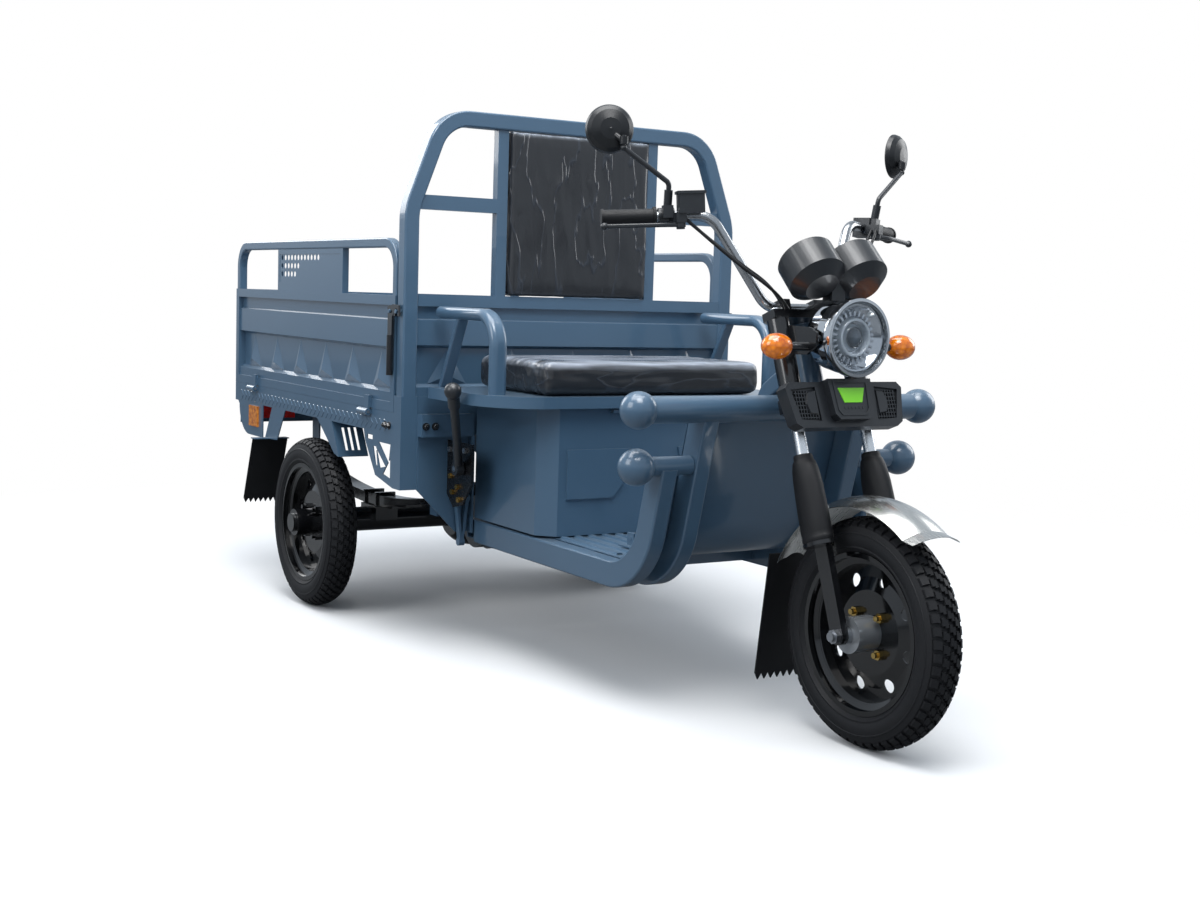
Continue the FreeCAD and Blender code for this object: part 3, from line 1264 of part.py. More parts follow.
arm_near_y = battery_box_half + 13
arm_foot_z = 266.0
arm_sleeve = rod(Vector(arm_pivot_x, -arm_near_y, arm_pivot_z),
                 Vector(arm_pivot_x, -arm_outer_y + 3, arm_pivot_z), 13)
arm_legs = []
for foot_y, top_y in ((-arm_near_y - 14, -arm_near_y), (-arm_near_y - 17, -arm_outer_y + 11)):
    leg = plate_yz([(top_y, arm_pivot_z), (top_y - 8, arm_pivot_z), (foot_y - 6, arm_foot_z),
                    (foot_y, arm_foot_z)], arm_pivot_x - 9, arm_pivot_x + 9)
    arm_legs.append(leg)
arm_eye = rod(Vector(arm_pivot_x, -arm_near_y - 26, arm_foot_z),
              Vector(arm_pivot_x, -arm_near_y - 10, arm_foot_z), 10)
arm_bore = rod(Vector(arm_pivot_x, -arm_near_y + 9, arm_pivot_z),
               Vector(arm_pivot_x, -arm_outer_y - 9, arm_pivot_z), arm_pin_radius + run_gap)
nodes["brake_shaft"] = fuse([arm_sleeve, arm_eye] + arm_legs).cut(arm_bore)

# Rear axle with differential, half shafts, spring seats and brake plates
axle_tube_radius = 35.0
hub_inner_y = half_track - 58
plate_y = hub_inner_y - 2
diff_radius = 95.0
axle_z = tyre_radius
seat_top = axle_z + axle_tube_radius + 6
axle_pieces = [rod(Vector(0, -plate_y + 2, axle_z), Vector(0, plate_y - 2, axle_z), axle_tube_radius)]
axle_pieces.append(Part.makeSphere(diff_radius, Vector(0, 0, axle_z)).common(
    block(-diff_radius, diff_radius, -70, 70, axle_z - diff_radius, axle_z + diff_radius)))
for sign in (-1, 1):
    axle_pieces.append(rod(Vector(0, sign * (plate_y - 5), axle_z), Vector(0, sign * plate_y, axle_z), 90))
    axle_pieces.append(rod(Vector(0, sign * (plate_y - 8), axle_z),
                           Vector(0, sign * (half_track + hub_half + 10), axle_z), half_shaft_radius))
    axle_pieces.append(rod(Vector(0, sign * (half_track + hub_half + 1), axle_z),
                           Vector(0, sign * (half_track + hub_half + 10), axle_z), 26))
    axle_pieces.append(block(-55, 55, sign * (spring_y - 34), sign * (spring_y + 34), axle_z, seat_top))
nodes["rear_axle"] = fuse(axle_pieces)

motor_radius = 76.0
motor_x = diff_radius + motor_radius - 8
motor_y0, motor_y1 = -70.0, 150.0
motor = fuse([rod(Vector(motor_x, motor_y0, axle_z), Vector(motor_x, motor_y1, axle_z), motor_radius),
              rod(Vector(motor_x, motor_y1, axle_z), Vector(motor_x, motor_y1 + 18, axle_z),
                  motor_radius - 22)])
for index in range(9):
    ring_y = motor_y0 + 40 + index * 16
    motor = fuse([motor, rod(Vector(motor_x, ring_y, axle_z), Vector(motor_x, ring_y + 5, axle_z),
                             motor_radius + 6)])
nodes["drive_motor"] = motor.cut(Part.makeSphere(diff_radius, Vector(0, 0, axle_z))).cut(
    rod(Vector(0, -plate_y, axle_z), Vector(0, plate_y, axle_z), axle_tube_radius + seat_gap))

# Leaf springs: stacked leaves with rolled eyes and U-bolt clamps
leaf_thick = 8.0
leaf_spans = (1.0, 0.78, 0.56, 0.34)


def leaf(level, half):
    """One leaf, bowed up toward its ends."""
    rise = (spring_eye_z - seat_top - leaf_thick / 2) * (half / spring_half) ** 2
    curve = Part.Arc(Vector(-half, 0, level + rise), Vector(0, 0, level),
                     Vector(half, 0, level + rise)).toShape()
    top = Part.Arc(Vector(-half, 0, level + leaf_thick + rise), Vector(0, 0, level + leaf_thick),
                   Vector(half, 0, level + leaf_thick + rise)).toShape()
    ends = [Part.LineSegment(Vector(x, 0, level + rise), Vector(x, 0, level + leaf_thick + rise)).toShape()
            for x in (-half, half)]
    face = Part.Face(Part.Wire(Part.sortEdges([curve, top] + ends)[0]))
    return face.extrude(Vector(0, spring_width, 0))


leaves = [leaf(seat_top + (len(leaf_spans) - 1 - index) * leaf_thick, spring_half * span)
          for index, span in enumerate(leaf_spans)]
eye_rise = (len(leaf_spans) - 1) * leaf_thick
eyes = []
for sign in (-1, 1):
    eye_mid = Vector(sign * spring_half, 0, spring_eye_z + eye_rise - leaf_thick / 2)
    eyes.append(rod(eye_mid, eye_mid.add(Vector(0, spring_width, 0)), eye_radius))
clamps = []
stack = leaf_thick * len(leaf_spans)
for spot in (-40.0, 40.0):
    clamps.append(block(spot - 5, spot + 5, -6, spring_width + 6, seat_top + stack, seat_top + stack + 8))
    for side_y in (-6.0, spring_width):
        clamps.append(block(spot - 5, spot + 5, side_y, side_y + 6, seat_top, seat_top + stack + 1))
spring = fuse(leaves + eyes + clamps)
spring.translate(Vector(0, -spring_y - spring_width / 2, 0))
nodes["leaf_springs"] = both_sides(spring)
eye_pin_radius = 6.0
eye_pins = []
for sign in (-1, 1):
    for end in (-1, 1):
        pin_start = Vector(end * spring_half, sign * spring_y - bracket_half + 5, spring_eye_z
                           + eye_rise - leaf_thick / 2)
        pin_end = pin_start.add(Vector(0, 2 * bracket_half - 10, 0))
        eye_pins.append(rod(pin_start, pin_end, eye_pin_radius))
eye_bores = [rod(Vector(end * spring_half, -half_width, spring_eye_z + eye_rise - leaf_thick / 2),
                 Vector(end * spring_half, half_width, spring_eye_z + eye_rise - leaf_thick / 2),
                 eye_pin_radius + run_gap) for end in (-1, 1)]
nodes["leaf_springs"] = [cut(solid, eye_bores) for solid in nodes["leaf_springs"]]
nodes["chassis_frame"] += eye_pins

# Fork lower legs: flat bars at the axle with slider tubes above
bar_in = leg_y - leg_bar_width / 2 + 0.5
bar_out = bar_in + leg_bar_thick
leg_bar_top = 230.0
slider_high = 360.0
flange_low = gaiter_low - 8
slider_low = flange_low
stanchion_low = gaiter_low + fork_travel - 5


def leg_bar():
    """The flat lower bar of one leg with its rounded axle end."""
    half = leg_bar_width / 2
    bar = block(-half, half, -bar_out, -bar_in, 0, leg_bar_top)
    return fuse([bar, rod(Vector(0, -bar_out, 0), Vector(0, -bar_in, 0), half)])


def oval(centre_y, half_p, half_y, level):
    """An oval outline across the leg."""
    ring = Part.Ellipse(Vector(0, centre_y, level), max(half_p, half_y + 0.01), half_y).toShape()
    return Part.Wire(ring)


slider = Part.makeCylinder(leg_tube_radius, slider_high - slider_low, Vector(0, -leg_y, slider_low))
flange = Part.Face(oval(-leg_y, 40, 27, flange_low)).extrude(Vector(0, 0, gaiter_low - flange_low))
slider_bore = Part.makeCylinder(stanchion_radius + run_gap, slider_high, Vector(0, -leg_y, gaiter_low - 6))
axle_hole = rod(Vector(0, -half_width, 0), Vector(0, half_width, 0), front_axle_radius)
leg = cut(fuse([leg_bar(), slider, flange]), [slider_bore, axle_hole])
nodes["fork_lower_legs"] = [fork_frame(shape) for shape in both_sides(leg)]

# Gaiters: soft covers that ride on the lower legs
gaiter_wall = 2.0
gaiter_levels = ((gaiter_low, 39, 26), (gaiter_low + 12, 42, 27), (300.0, 40, 27), (342.0, 33, 26.5),
                 (362.0, 26, 25), (gaiter_high, 20, 20))
gaiter_skin = Part.makeLoft([oval(-leg_y, p, y, s) for s, p, y in gaiter_levels], True, True)
gaiter_core = [oval(-leg_y, p - gaiter_wall, y - gaiter_wall, s) for s, p, y in gaiter_levels[:-1]]
gaiter_core.append(oval(-leg_y, stanchion_radius + 2, stanchion_radius + 2, gaiter_high - gaiter_wall))
gaiter_bore = Part.makeCylinder(stanchion_radius + seat_gap, 40, Vector(0, -leg_y, gaiter_high - 30))
gaiter = gaiter_skin.cut(Part.makeLoft(gaiter_core, True, True)).cut(gaiter_bore)
nodes["fork_gaiters"] = [fork_frame(shape) for shape in both_sides(gaiter)]

# Stanchions, yokes with the steering stem, and shrouds
stanchion = Part.makeCylinder(stanchion_radius, upper_yoke_high + 7 - stanchion_low,
                              Vector(0, -leg_y, stanchion_low))
nodes["fork_stanchions"] = [fork_frame(shape) for shape in both_sides(stanchion)]

yoke_side = leg_y + 24
yoke_front = 22.0


def yoke(low, high):
    """A flat yoke plate with rounded ends, drawn along a straight-up fork."""
    points = [(-fork_offset - 26, -40), (-20, -yoke_side), (yoke_front, -yoke_side),
              (yoke_front, yoke_side), (-20, yoke_side), (-fork_offset - 26, 40)]
    return plate_xy(points, low, high)


stem = Part.makeCylinder(stem_radius, upper_yoke_high - lower_yoke_low,
                         Vector(-fork_offset, 0, lower_yoke_low))
bar_level = upper_yoke_high + bar_low_rise
clamp_y = 45.0
clamp_half = 12.0
clamps = []
for sign in (-1, 1):
    clamps.append(block(-fork_offset - 20, -fork_offset + 20, sign * clamp_y - clamp_half, sign * clamp_y
                        + clamp_half, upper_yoke_high - 1, bar_level + 15))
yoke_holes = [Part.makeCylinder(stanchion_radius, 2 * upper_yoke_high, Vector(0, sign * leg_y, 0))
              for sign in (-1, 1)]
yoke_holes.append(rod(Vector(-fork_offset, -half_width, bar_level),
                      Vector(-fork_offset, half_width, bar_level), bar_radius))
yokes = cut(fuse([yoke(lower_yoke_low, lower_yoke_high), yoke(upper_yoke_low, upper_yoke_high), stem]
                 + clamps), yoke_holes)
nodes["steering_yokes"] = fork_frame(yokes)

shroud_radius = 24.0
ear_near, ear_far = 80.5, 86.5
ear_rear_x = wheelbase - 221.0
ear_front_x = wheelbase - 111.0
stalk_x = wheelbase - 137.0
stalk_z = 820.0
stalk_radius = 9.0
stalk_end = 134.0
boss_x = wheelbase - 126.0
shroud = Part.makeCylinder(shroud_radius, upper_yoke_low - lower_yoke_high,
                           Vector(0, -leg_y, lower_yoke_high))
shroud_core = Part.makeCylinder(shroud_radius - 2.5, upper_yoke_low, Vector(0, -leg_y, lower_yoke_high - 1))
ear = plate_xz([(ear_rear_x, 800), (ear_front_x - 30, 803), (ear_front_x, 822), (ear_front_x, 850),
                (ear_front_x - 24, 860), (ear_rear_x - 8, 862)], -ear_far, -ear_near)
stalk = rod(Vector(stalk_x, -ear_near, stalk_z), Vector(stalk_x, -stalk_end, stalk_z), stalk_radius)
shroud = fuse([fork_frame(shroud), ear, stalk]).cut(fork_frame(shroud_core))
nodes["fork_shrouds"] = both_sides(shroud)

# Indicators on their stalks
indicator_y = 167.0
indicator = Part.makeSphere(1)
stretch = FreeCAD.Matrix()
stretch.scale(30, 34, 27)
indicator = indicator.transformGeometry(stretch)
indicator.translate(Vector(stalk_x, -indicator_y, stalk_z))
indicator = indicator.cut(stalk)
nodes["indicators"] = both_sides(indicator)

# Headlight bucket and lens
bucket_line = [(0, -128), (30, -124), (56, -108), (70, -84), (headlight_radius - 4, -50),
               (headlight_radius - 4, -24), (headlight_radius, -22), (headlight_radius, -2)]
bucket_back = [(r - 3 if r > 3 else 0, y + 3) for r, y in bucket_line[:-1]]
bucket_back[-1] = (headlight_radius - 5, -20)
bucket = turned(bucket_line + [(headlight_radius - 5, -2)] + list(reversed(bucket_back)),
                Vector(headlight_x, 0, headlight_z), "x")
bosses = []
for sign in (-1, 1):
    bosses.append(rod(Vector(boss_x, sign * (headlight_radius - 8), headlight_z - 6),
                      Vector(boss_x, sign * ear_near, headlight_z - 6), 10))
bucket_hollow = turned([(0, -121), (28, -118), (53, -103), (66, -82), (headlight_radius - 9, -50),
                        (headlight_radius - 9, -20), (0, -20)], Vector(headlight_x, 0, headlight_z), "x")
nodes["headlight_bucket"] = fuse([bucket] + bosses).cut(bucket_hollow)
lens_radius = headlight_radius - 5
lens_line = [(0, 6), (lens_radius * 0.5, 4.5), (lens_radius * 0.85, 0.5), (lens_radius, -4),
             (lens_radius, -8), (lens_radius * 0.8, -5), (0, 0)]
nodes["headlight_lens"] = turned(lens_line, Vector(headlight_x, 0, headlight_z), "x")

# Instrument cluster: two round barrels on a tongue from the upper yoke
dial_radius = 62.0
dial_depth = 62.0
dial_y = dial_radius - 4
dial_back = 171.0
dial_mid = Vector(wheelbase - dial_back, 0, 980)
facing = Vector(-1, 0, 1).normalize()
dial_bodies = []
for sign in (-1, 1):
    base = dial_mid.add(Vector(0, sign * dial_y, 0)).sub(facing * (dial_depth / 2))
    dial_bodies.append(Part.makeCylinder(dial_radius, dial_depth, base, facing))
    dial_bodies.append(Part.makeCone(dial_radius - 26, dial_radius, 22, base.sub(facing * 22), facing))
tongue = fork_frame(block(-18, 92, -20, 20, upper_yoke_high, upper_yoke_high + 6))
neck = block(dial_mid.x - 8, dial_mid.x + 22, -18, 18, fork_point(80, 0, upper_yoke_high).z, dial_mid.z)
nodes["instrument_cluster"] = fuse(dial_bodies + [tongue, neck])

# Horn panel on the lower yoke: a wide moulding with a raised centre
panel_rear, panel_front = 31.0, 62.0
panel_half = 157.0
panel_low, panel_high = 421.0, 518.0
panel = plate_yz([(-panel_half, panel_high - 12), (-panel_half + 14, panel_low + 10),
                  (-panel_half + 30, panel_low), (panel_half - 30, panel_low),
                  (panel_half - 14, panel_low + 10), (panel_half, panel_high - 12),
                  (panel_half - 12, panel_high), (-panel_half + 12, panel_high)], panel_rear, panel_front)
centre_box = plate_yz([(-58, panel_high + 2), (-52, panel_low + 24), (-40, panel_low + 12),
                       (40, panel_low + 12), (52, panel_low + 24), (58, panel_high + 2)],
                      panel_front - 20, panel_front + 18)
horn_recess = []
for sign in (-1, 1):
    horn_recess.append(plate_yz([(sign * 76, panel_low + 14), (sign * 128, panel_low + 18),
                                 (sign * 144, panel_high - 16), (sign * 80, panel_high - 10)],
                                panel_front - 6, panel_front + 1))
panel_foot = block(yoke_front, panel_rear + 1, -48, 48, lower_yoke_low, lower_yoke_high)
panel = cut(fuse([panel, centre_box, panel_foot]), horn_recess)
nodes["horn_panel"] = fork_frame(panel)

# Front axle with nuts and spacers
axle_end = bar_out + 18
hub_gap = 0.5
axle_pieces = [rod(Vector(0, -axle_end, 0), Vector(0, axle_end, 0), front_axle_radius)]
for sign in (-1, 1):
    axle_pieces.append(rod(Vector(0, sign * (hub_half + hub_gap), 0), Vector(0, sign * bar_in, 0),
                           front_axle_radius + 7))
    nut_base = Vector(0, bar_out if sign > 0 else -bar_out - nut_height, 0)
    axle_pieces.append(hexagon(nut_base, y_axis, nut_across + 8, nut_height))
nodes["front_axle"] = fork_frame(fuse(axle_pieces))

# Front mudguard: a crowned strip with a flared tip and stays down to the legs
guard_half = 62.0
guard_edge = tyre_radius + 22
guard_crown = tyre_radius + 42
guard_sheet = 1.6
guard_start, guard_end = 56.0, 155.0
flare_angle, flare_rise = 50.0, 14.0


def guard_section(angle, lift):
    """Cross section of the mudguard at an angle up from straight ahead."""
    outer = [Vector(guard_edge + lift, -guard_half, 0), Vector(guard_crown + lift, 0, 0),
             Vector(guard_edge + lift, guard_half, 0)]
    inner = [Vector(p.x - guard_sheet, p.y, 0) for p in outer]
    edges = [Part.Arc(outer[0], outer[1], outer[2]).toShape(),
             Part.LineSegment(outer[2], inner[2]).toShape(),
             Part.Arc(inner[2], inner[1], inner[0]).toShape(),
             Part.LineSegment(inner[0], outer[0]).toShape()]
    wire = Part.Wire(edges)
    wire.rotate(origin, y_axis, -angle)
    return wire


guard_strip = Part.Face(guard_section(guard_start, 0)).revolve(origin, Vector(0, -1, 0),
                                                               guard_end - guard_start)
guard_tip = Part.makeLoft([guard_section(guard_start, 0), guard_section(flare_angle, flare_rise)], True,
                          True)
guard = fuse([guard_strip, guard_tip])
guard.translate(front_centre)
stay_half = 14.0
stay_out = leg_y - 28.5
stay = fuse([block(-stay_half, stay_half, -stay_out, -stay_out + 3, flange_low - 24, guard_edge + 6),
             block(-stay_half, stay_half, -bar_in, -stay_out + 3, flange_low - 24, flange_low - 4)])
stays = [fork_frame(shape) for shape in both_sides(stay)]
nodes["front_mudguard"] = fuse([guard] + stays)

# Front mud flap behind the wheel
front_flap_half = 72.0
front_flap_top = Vector(wheelbase - 252, 0, tyre_radius + 128)
front_flap_low = Vector(wheelbase - 289, 0, 82)
front_flap_drop = front_flap_top.z - front_flap_low.z
front_flap_reach = math.hypot(front_flap_drop, front_flap_top.x - front_flap_low.x)
front_flap = toothed_sheet(-front_flap_half, front_flap_half, front_flap_reach, flap_thick, tooth_count
                           + 1, flap_tooth)
front_flap.rotate(origin, y_axis,
                  math.degrees(math.atan2(front_flap_top.x - front_flap_low.x, front_flap_drop)))
front_flap.translate(front_flap_top)
nodes["front_mud_flap"] = front_flap.cut(nodes["front_mudguard"])

# Handlebar with raised ends
bar_low_half = 85.0
bar_mid = fork_point(-fork_offset, 0, bar_level)
bar_low_bend = 45.0
bar_high_bend = 55.0
bar_end = Vector(bar_end_x, -bar_end_y, bar_end_z)
bar_elbow = Vector(bar_elbow_x, -bar_elbow_y, bar_elbow_z)
bar_low = Vector(bar_mid.x, -bar_low_half, bar_mid.z)
bar_right = [bar_end, bar_elbow, bar_low]
bar_left = [Vector(p.x, -p.y, p.z) for p in reversed(bar_right)]
bar_bends = [bar_high_bend, bar_low_bend, bar_low_bend, bar_high_bend]
nodes["handlebar"] = round_tube(bar_right + bar_left, bar_bends, bar_radius, tube_wall)

inboard = bar_elbow.sub(bar_end).normalize()
bar_turn = FreeCAD.Rotation(x_axis, inboard, z_axis, "YZX")
bar_up = bar_turn.multVec(z_axis)


def bar_frame(shape):
    """Moves a piece drawn along a straight bar to the right-hand end of the handlebar."""
    shape.Placement = FreeCAD.Placement(bar_end, bar_turn).multiply(shape.Placement)
    return shape


def bar_point(ahead, along, up):
    """The place of a point that is given from the right-hand end of the bar."""
    return bar_end.add(bar_turn.multVec(Vector(ahead, along, up)))


# Grips
grip_end = 5.0
grip_flange = 21.0


def grip(bore):
    """A ribbed grip with a closed end and an inner flange."""
    body = fuse([rod(Vector(0, -grip_end, 0), Vector(0, grip_length, 0), grip_radius),
                 rod(Vector(0, grip_length - 6, 0), Vector(0, grip_length, 0), grip_flange),
                 rod(Vector(0, -grip_end, 0), Vector(0, 0, 0), grip_radius + 2)])
    return bar_frame(body.cut(rod(Vector(0, -seat_gap, 0), Vector(0, grip_length + 1, 0), bore)))


nodes["throttle_grip"] = grip(bar_radius + run_gap)
nodes["left_grip"] = mirrored(grip(bar_radius))

# Brake lever perches, fluid reservoir, switch pod and mirror stems
perch_near = grip_length + 4.5
perch_far = perch_near + 34
lever_pivot_x = 38.0
lever_pivot_y = perch_far + 8
lever_pin_radius = 5.0
lever_level = -20.0
lever_thick = 9.0
lever_high = lever_level + lever_thick / 2
stem_base_x = 21.0
stem_base_y = perch_near + 18
bar_hole = rod(Vector(0, -half_width, 0), Vector(0, half_width, 0), bar_radius)
perch_arm = plate_xy([(0, perch_near + 14), (30, lever_pivot_y - 14),
                      (lever_pivot_x + 12, lever_pivot_y - 10), (lever_pivot_x + 12, lever_pivot_y + 12),
                      (16, lever_pivot_y + 12), (0, perch_far)], lever_high + seat_gap, 6)
lever_pin = rod(Vector(lever_pivot_x, lever_pivot_y, 0),
                Vector(lever_pivot_x, lever_pivot_y, lever_level - 9), lever_pin_radius)
pin_cap = rod(Vector(lever_pivot_x, lever_pivot_y, lever_level - lever_thick / 2 - seat_gap),
              Vector(lever_pivot_x, lever_pivot_y, lever_level - 9), lever_pin_radius + 4)
ring = rod(Vector(0, perch_near, 0), Vector(0, perch_far, 0), bar_radius + 7)
stem_boss = block(stem_base_x - 12, stem_base_x + 10, stem_base_y - 11, stem_base_y + 11, -4, 22)
reservoir = block(14, 56, perch_far + 4, perch_far + 58, 4, 44)
reservoir_lid = block(11, 59, perch_far + 1, perch_far + 61, 44, 50)
perch_common = [ring, perch_arm, lever_pin, pin_cap, stem_boss]
right_perch = fuse(perch_common + [reservoir, reservoir_lid]).cut(bar_hole)
button_y = (perch_near + perch_far) / 2
button_z = 8.0
button_radius = 7.0
button_throw = 3.0
pod_back = -24.0
pod = block(pod_back, 16, perch_near, perch_far, -20, 24)
button_pocket = rod(Vector(pod_back - 1, button_y, button_z), Vector(pod_back + 10, button_y, button_z),
                    button_radius + run_gap)
left_perch = cut(fuse(perch_common + [pod]), [bar_hole, button_pocket])
button = rod(Vector(pod_back - 4, button_y, button_z),
             Vector(pod_back + 10 - button_throw - 0.5, button_y, button_z), button_radius)
nodes["horn_button"] = mirrored(bar_frame(button))

mirror_back = 399.0
mirror_joint = Vector(wheelbase - mirror_back, -385, 1218)
stem_elbow = Vector(mirror_joint.x + 32, -290, 1150)
stem_base = bar_point(stem_base_x, stem_base_y, 20)
stem_wire = round_tube([stem_base, stem_elbow, mirror_joint], [14.0], 5.5)
stem_boot = rod(stem_base, stem_base.add((stem_elbow - stem_base) * 0.7), 9)
stem_ball = Part.makeSphere(7, mirror_joint)
swivel_radius = 4.0
swivel_top = mirror_joint.z + 26
swivel_pin = rod(mirror_joint, Vector(mirror_joint.x, mirror_joint.y, swivel_top), swivel_radius)
mirror_stem = fuse([stem_boot, stem_wire, stem_ball, swivel_pin])
right_control = fuse([bar_frame(right_perch), mirror_stem])
left_control = fuse([mirrored(bar_frame(left_perch)), mirrored(mirror_stem)])
nodes["hand_controls"] = [right_control, left_control]

# Hand brake levers
blade_line = [Vector(lever_pivot_x, lever_pivot_y, lever_level), Vector(54, perch_near, lever_level),
              Vector(52, -4, lever_level)]
blade = box_tube(blade_line, [60.0], z_axis, lever_thick, 10, 3.0)
lever_body = fuse([blade, rod(Vector(lever_pivot_x, lever_pivot_y, lever_high),
                              Vector(lever_pivot_x, lever_pivot_y, lever_high - lever_thick), 11),
                   Part.makeSphere(8, blade_line[-1])])
lever_bore = rod(Vector(lever_pivot_x, lever_pivot_y, 40), Vector(lever_pivot_x, lever_pivot_y, -60),
                 lever_pin_radius + run_gap)
nodes["front_brake_lever"] = bar_frame(lever_body.cut(lever_bore))
nodes["rear_brake_lever"] = mirrored(nodes["front_brake_lever"])

# Mirrors: domed shells with a flat glass facing the rider
mirror_radius = 51.0
mirror_yaw = 25.0
mirror_mid = Vector(mirror_joint.x - 30, -401, 1258)
glass_radius = 46.0
glass_thick = 2.0
shell_line = [(0, 14), (22, 12.5), (40, 6), (48, -3), (mirror_radius, -11), (mirror_radius, -14), (0, -14)]
shell = turned(shell_line, origin, "x")
glass = rod(Vector(-14, 0, 0), Vector(-14 + glass_thick, 0, 0), glass_radius)
shell = shell.cut(glass)
for shape in (shell, glass):
    shape.rotate(origin, z_axis, -mirror_yaw)
    shape.translate(mirror_mid)
sleeve_low = mirror_joint.z + 7.5
socket = rod(Vector(mirror_joint.x, mirror_joint.y, sleeve_low),
             Vector(mirror_joint.x, mirror_joint.y, swivel_top - 3), 9)
socket_arm = rod(Vector(mirror_joint.x - 4, mirror_joint.y - 2, sleeve_low + 8),
                 mirror_mid.add(Vector(6, 4, -8)), 6)
swivel_bore = rod(Vector(mirror_joint.x, mirror_joint.y, sleeve_low - 20),
                  Vector(mirror_joint.x, mirror_joint.y, swivel_top + 20), swivel_radius + run_gap)
nodes["right_mirror"] = [fuse([shell, socket_arm.cut(glass), socket]).cut(swivel_bore), glass]
nodes["left_mirror"] = [mirrored(solid) for solid in nodes["right_mirror"]]

# Control cables from the hand levers to the upper yoke
cable_radius = 3.5
cable_back = 296.0
cable_bends = [50.0, 25.0]
cables = []
for shift, ahead in ((Vector(0, 0, 0), -8.0), (Vector(16, -6, -8), 8.0)):
    line = [bar_point(30 + shift.x * 0.7, lever_pivot_y + 6, -3),
            Vector(wheelbase - cable_back, -175, 1000).add(shift),
            Vector(wheelbase - cable_back + 42, -75, 932).add(shift),
            fork_point(ahead, -64, upper_yoke_high - 1)]
    cable = round_tube(line, cable_bends, cable_radius).cut(right_control).cut(nodes["steering_yokes"])
    cables += both_sides(cable)
nodes["control_cables"] = cables

# Move everything so that the origin is below the middle of the whole, then save each piece
shapes = {}
overall = FreeCAD.BoundBox()
for name, content in nodes.items():
    shapes[name] = Part.makeCompound(content) if isinstance(content, list) else content
    overall.add(shapes[name].optimalBoundingBox(False, False))
home = Vector(-(overall.XMin + overall.XMax) / 2, -(overall.YMin + overall.YMax) / 2, -overall.ZMin)
os.makedirs("parts", exist_ok=True)
for name, shape in shapes.items():
    shape.translate(home)
    shape.exportStep("parts/" + name + ".step")
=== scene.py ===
import bmesh
import bpy
import math
from mathutils import Matrix, Vector, noise


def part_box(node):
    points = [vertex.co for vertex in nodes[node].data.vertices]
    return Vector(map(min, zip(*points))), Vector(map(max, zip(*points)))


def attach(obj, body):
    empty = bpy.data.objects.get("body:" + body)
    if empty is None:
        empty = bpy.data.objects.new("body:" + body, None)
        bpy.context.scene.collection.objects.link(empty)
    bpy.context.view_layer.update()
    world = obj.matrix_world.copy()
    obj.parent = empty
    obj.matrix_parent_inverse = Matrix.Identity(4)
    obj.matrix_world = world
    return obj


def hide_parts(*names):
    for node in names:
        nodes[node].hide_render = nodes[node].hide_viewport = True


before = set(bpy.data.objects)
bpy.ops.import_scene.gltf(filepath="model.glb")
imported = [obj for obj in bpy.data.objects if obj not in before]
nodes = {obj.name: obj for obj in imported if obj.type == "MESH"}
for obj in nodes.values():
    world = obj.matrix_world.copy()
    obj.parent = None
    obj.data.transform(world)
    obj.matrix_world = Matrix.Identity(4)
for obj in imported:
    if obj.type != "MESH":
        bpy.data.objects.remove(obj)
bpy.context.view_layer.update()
scene = bpy.context.scene


# Studio: a wide pale floor that fades to white, soft lamps above and beside, and a camera that
# stands in front of the right-hand corner, a little above the height of the seat.
def linear(hex_colour):
    """An sRGB hex colour as linear red, green, blue and alpha."""
    parts = [int(hex_colour[i:i + 2], 16) / 255 for i in (1, 3, 5)]
    return tuple(c / 12.92 if c <= 0.04045 else ((c + 0.055) / 1.055) ** 2.4 for c in parts) + (1.0,)


def add(tree, kind, inputs=None, **settings):
    """Adds a node with its settings. Inputs are constants, or outputs of other nodes to link."""
    made = tree.nodes.new(kind)
    for name, value in settings.items():
        setattr(made, name, value)
    for name, value in (inputs or {}).items():
        if isinstance(value, bpy.types.NodeSocket):
            tree.links.new(value, made.inputs[name])
        else:
            made.inputs[name].default_value = value
    return made


def sums(tree, operation, *values):
    """What a maths node gives."""
    return add(tree, "ShaderNodeMath", dict(enumerate(values)), operation=operation).outputs[0]


def vectors(tree, operation, *values):
    """What a vector maths node gives: a number for a length or a dot product, otherwise a vector."""
    made = add(tree, "ShaderNodeVectorMath", dict(enumerate(values)), operation=operation)
    return made.outputs["Value" if operation in ("LENGTH", "DOT_PRODUCT") else "Vector"]


def ranged(tree, value, low, high, from_low=0.0, from_high=1.0):
    """A value moved from one range to another, and held in it."""
    return add(tree, "ShaderNodeMapRange", {"Value": value, "From Min": from_low, "From Max": from_high,
                                            "To Min": low, "To Max": high}).outputs["Result"]


def mixed(tree, factor, first, second):
    """A colour between two, which are hex colours or outputs of other nodes."""
    first, second = [linear(end) if isinstance(end, str) else end for end in (first, second)]
    mix = add(tree, "ShaderNodeMix", {"Factor": factor, "A": first, "B": second}, data_type="RGBA")
    return mix.outputs["Result"]


def blank_material(name):
    """A material with an empty tree, its output node and the place on the object, in metres."""
    made = bpy.data.materials.new(name)
    made.use_nodes = True
    tree = made.node_tree
    tree.nodes.clear()
    out = tree.nodes.new("ShaderNodeOutputMaterial")
    return made, tree, out, add(tree, "ShaderNodeTexCoord").outputs["Object"]


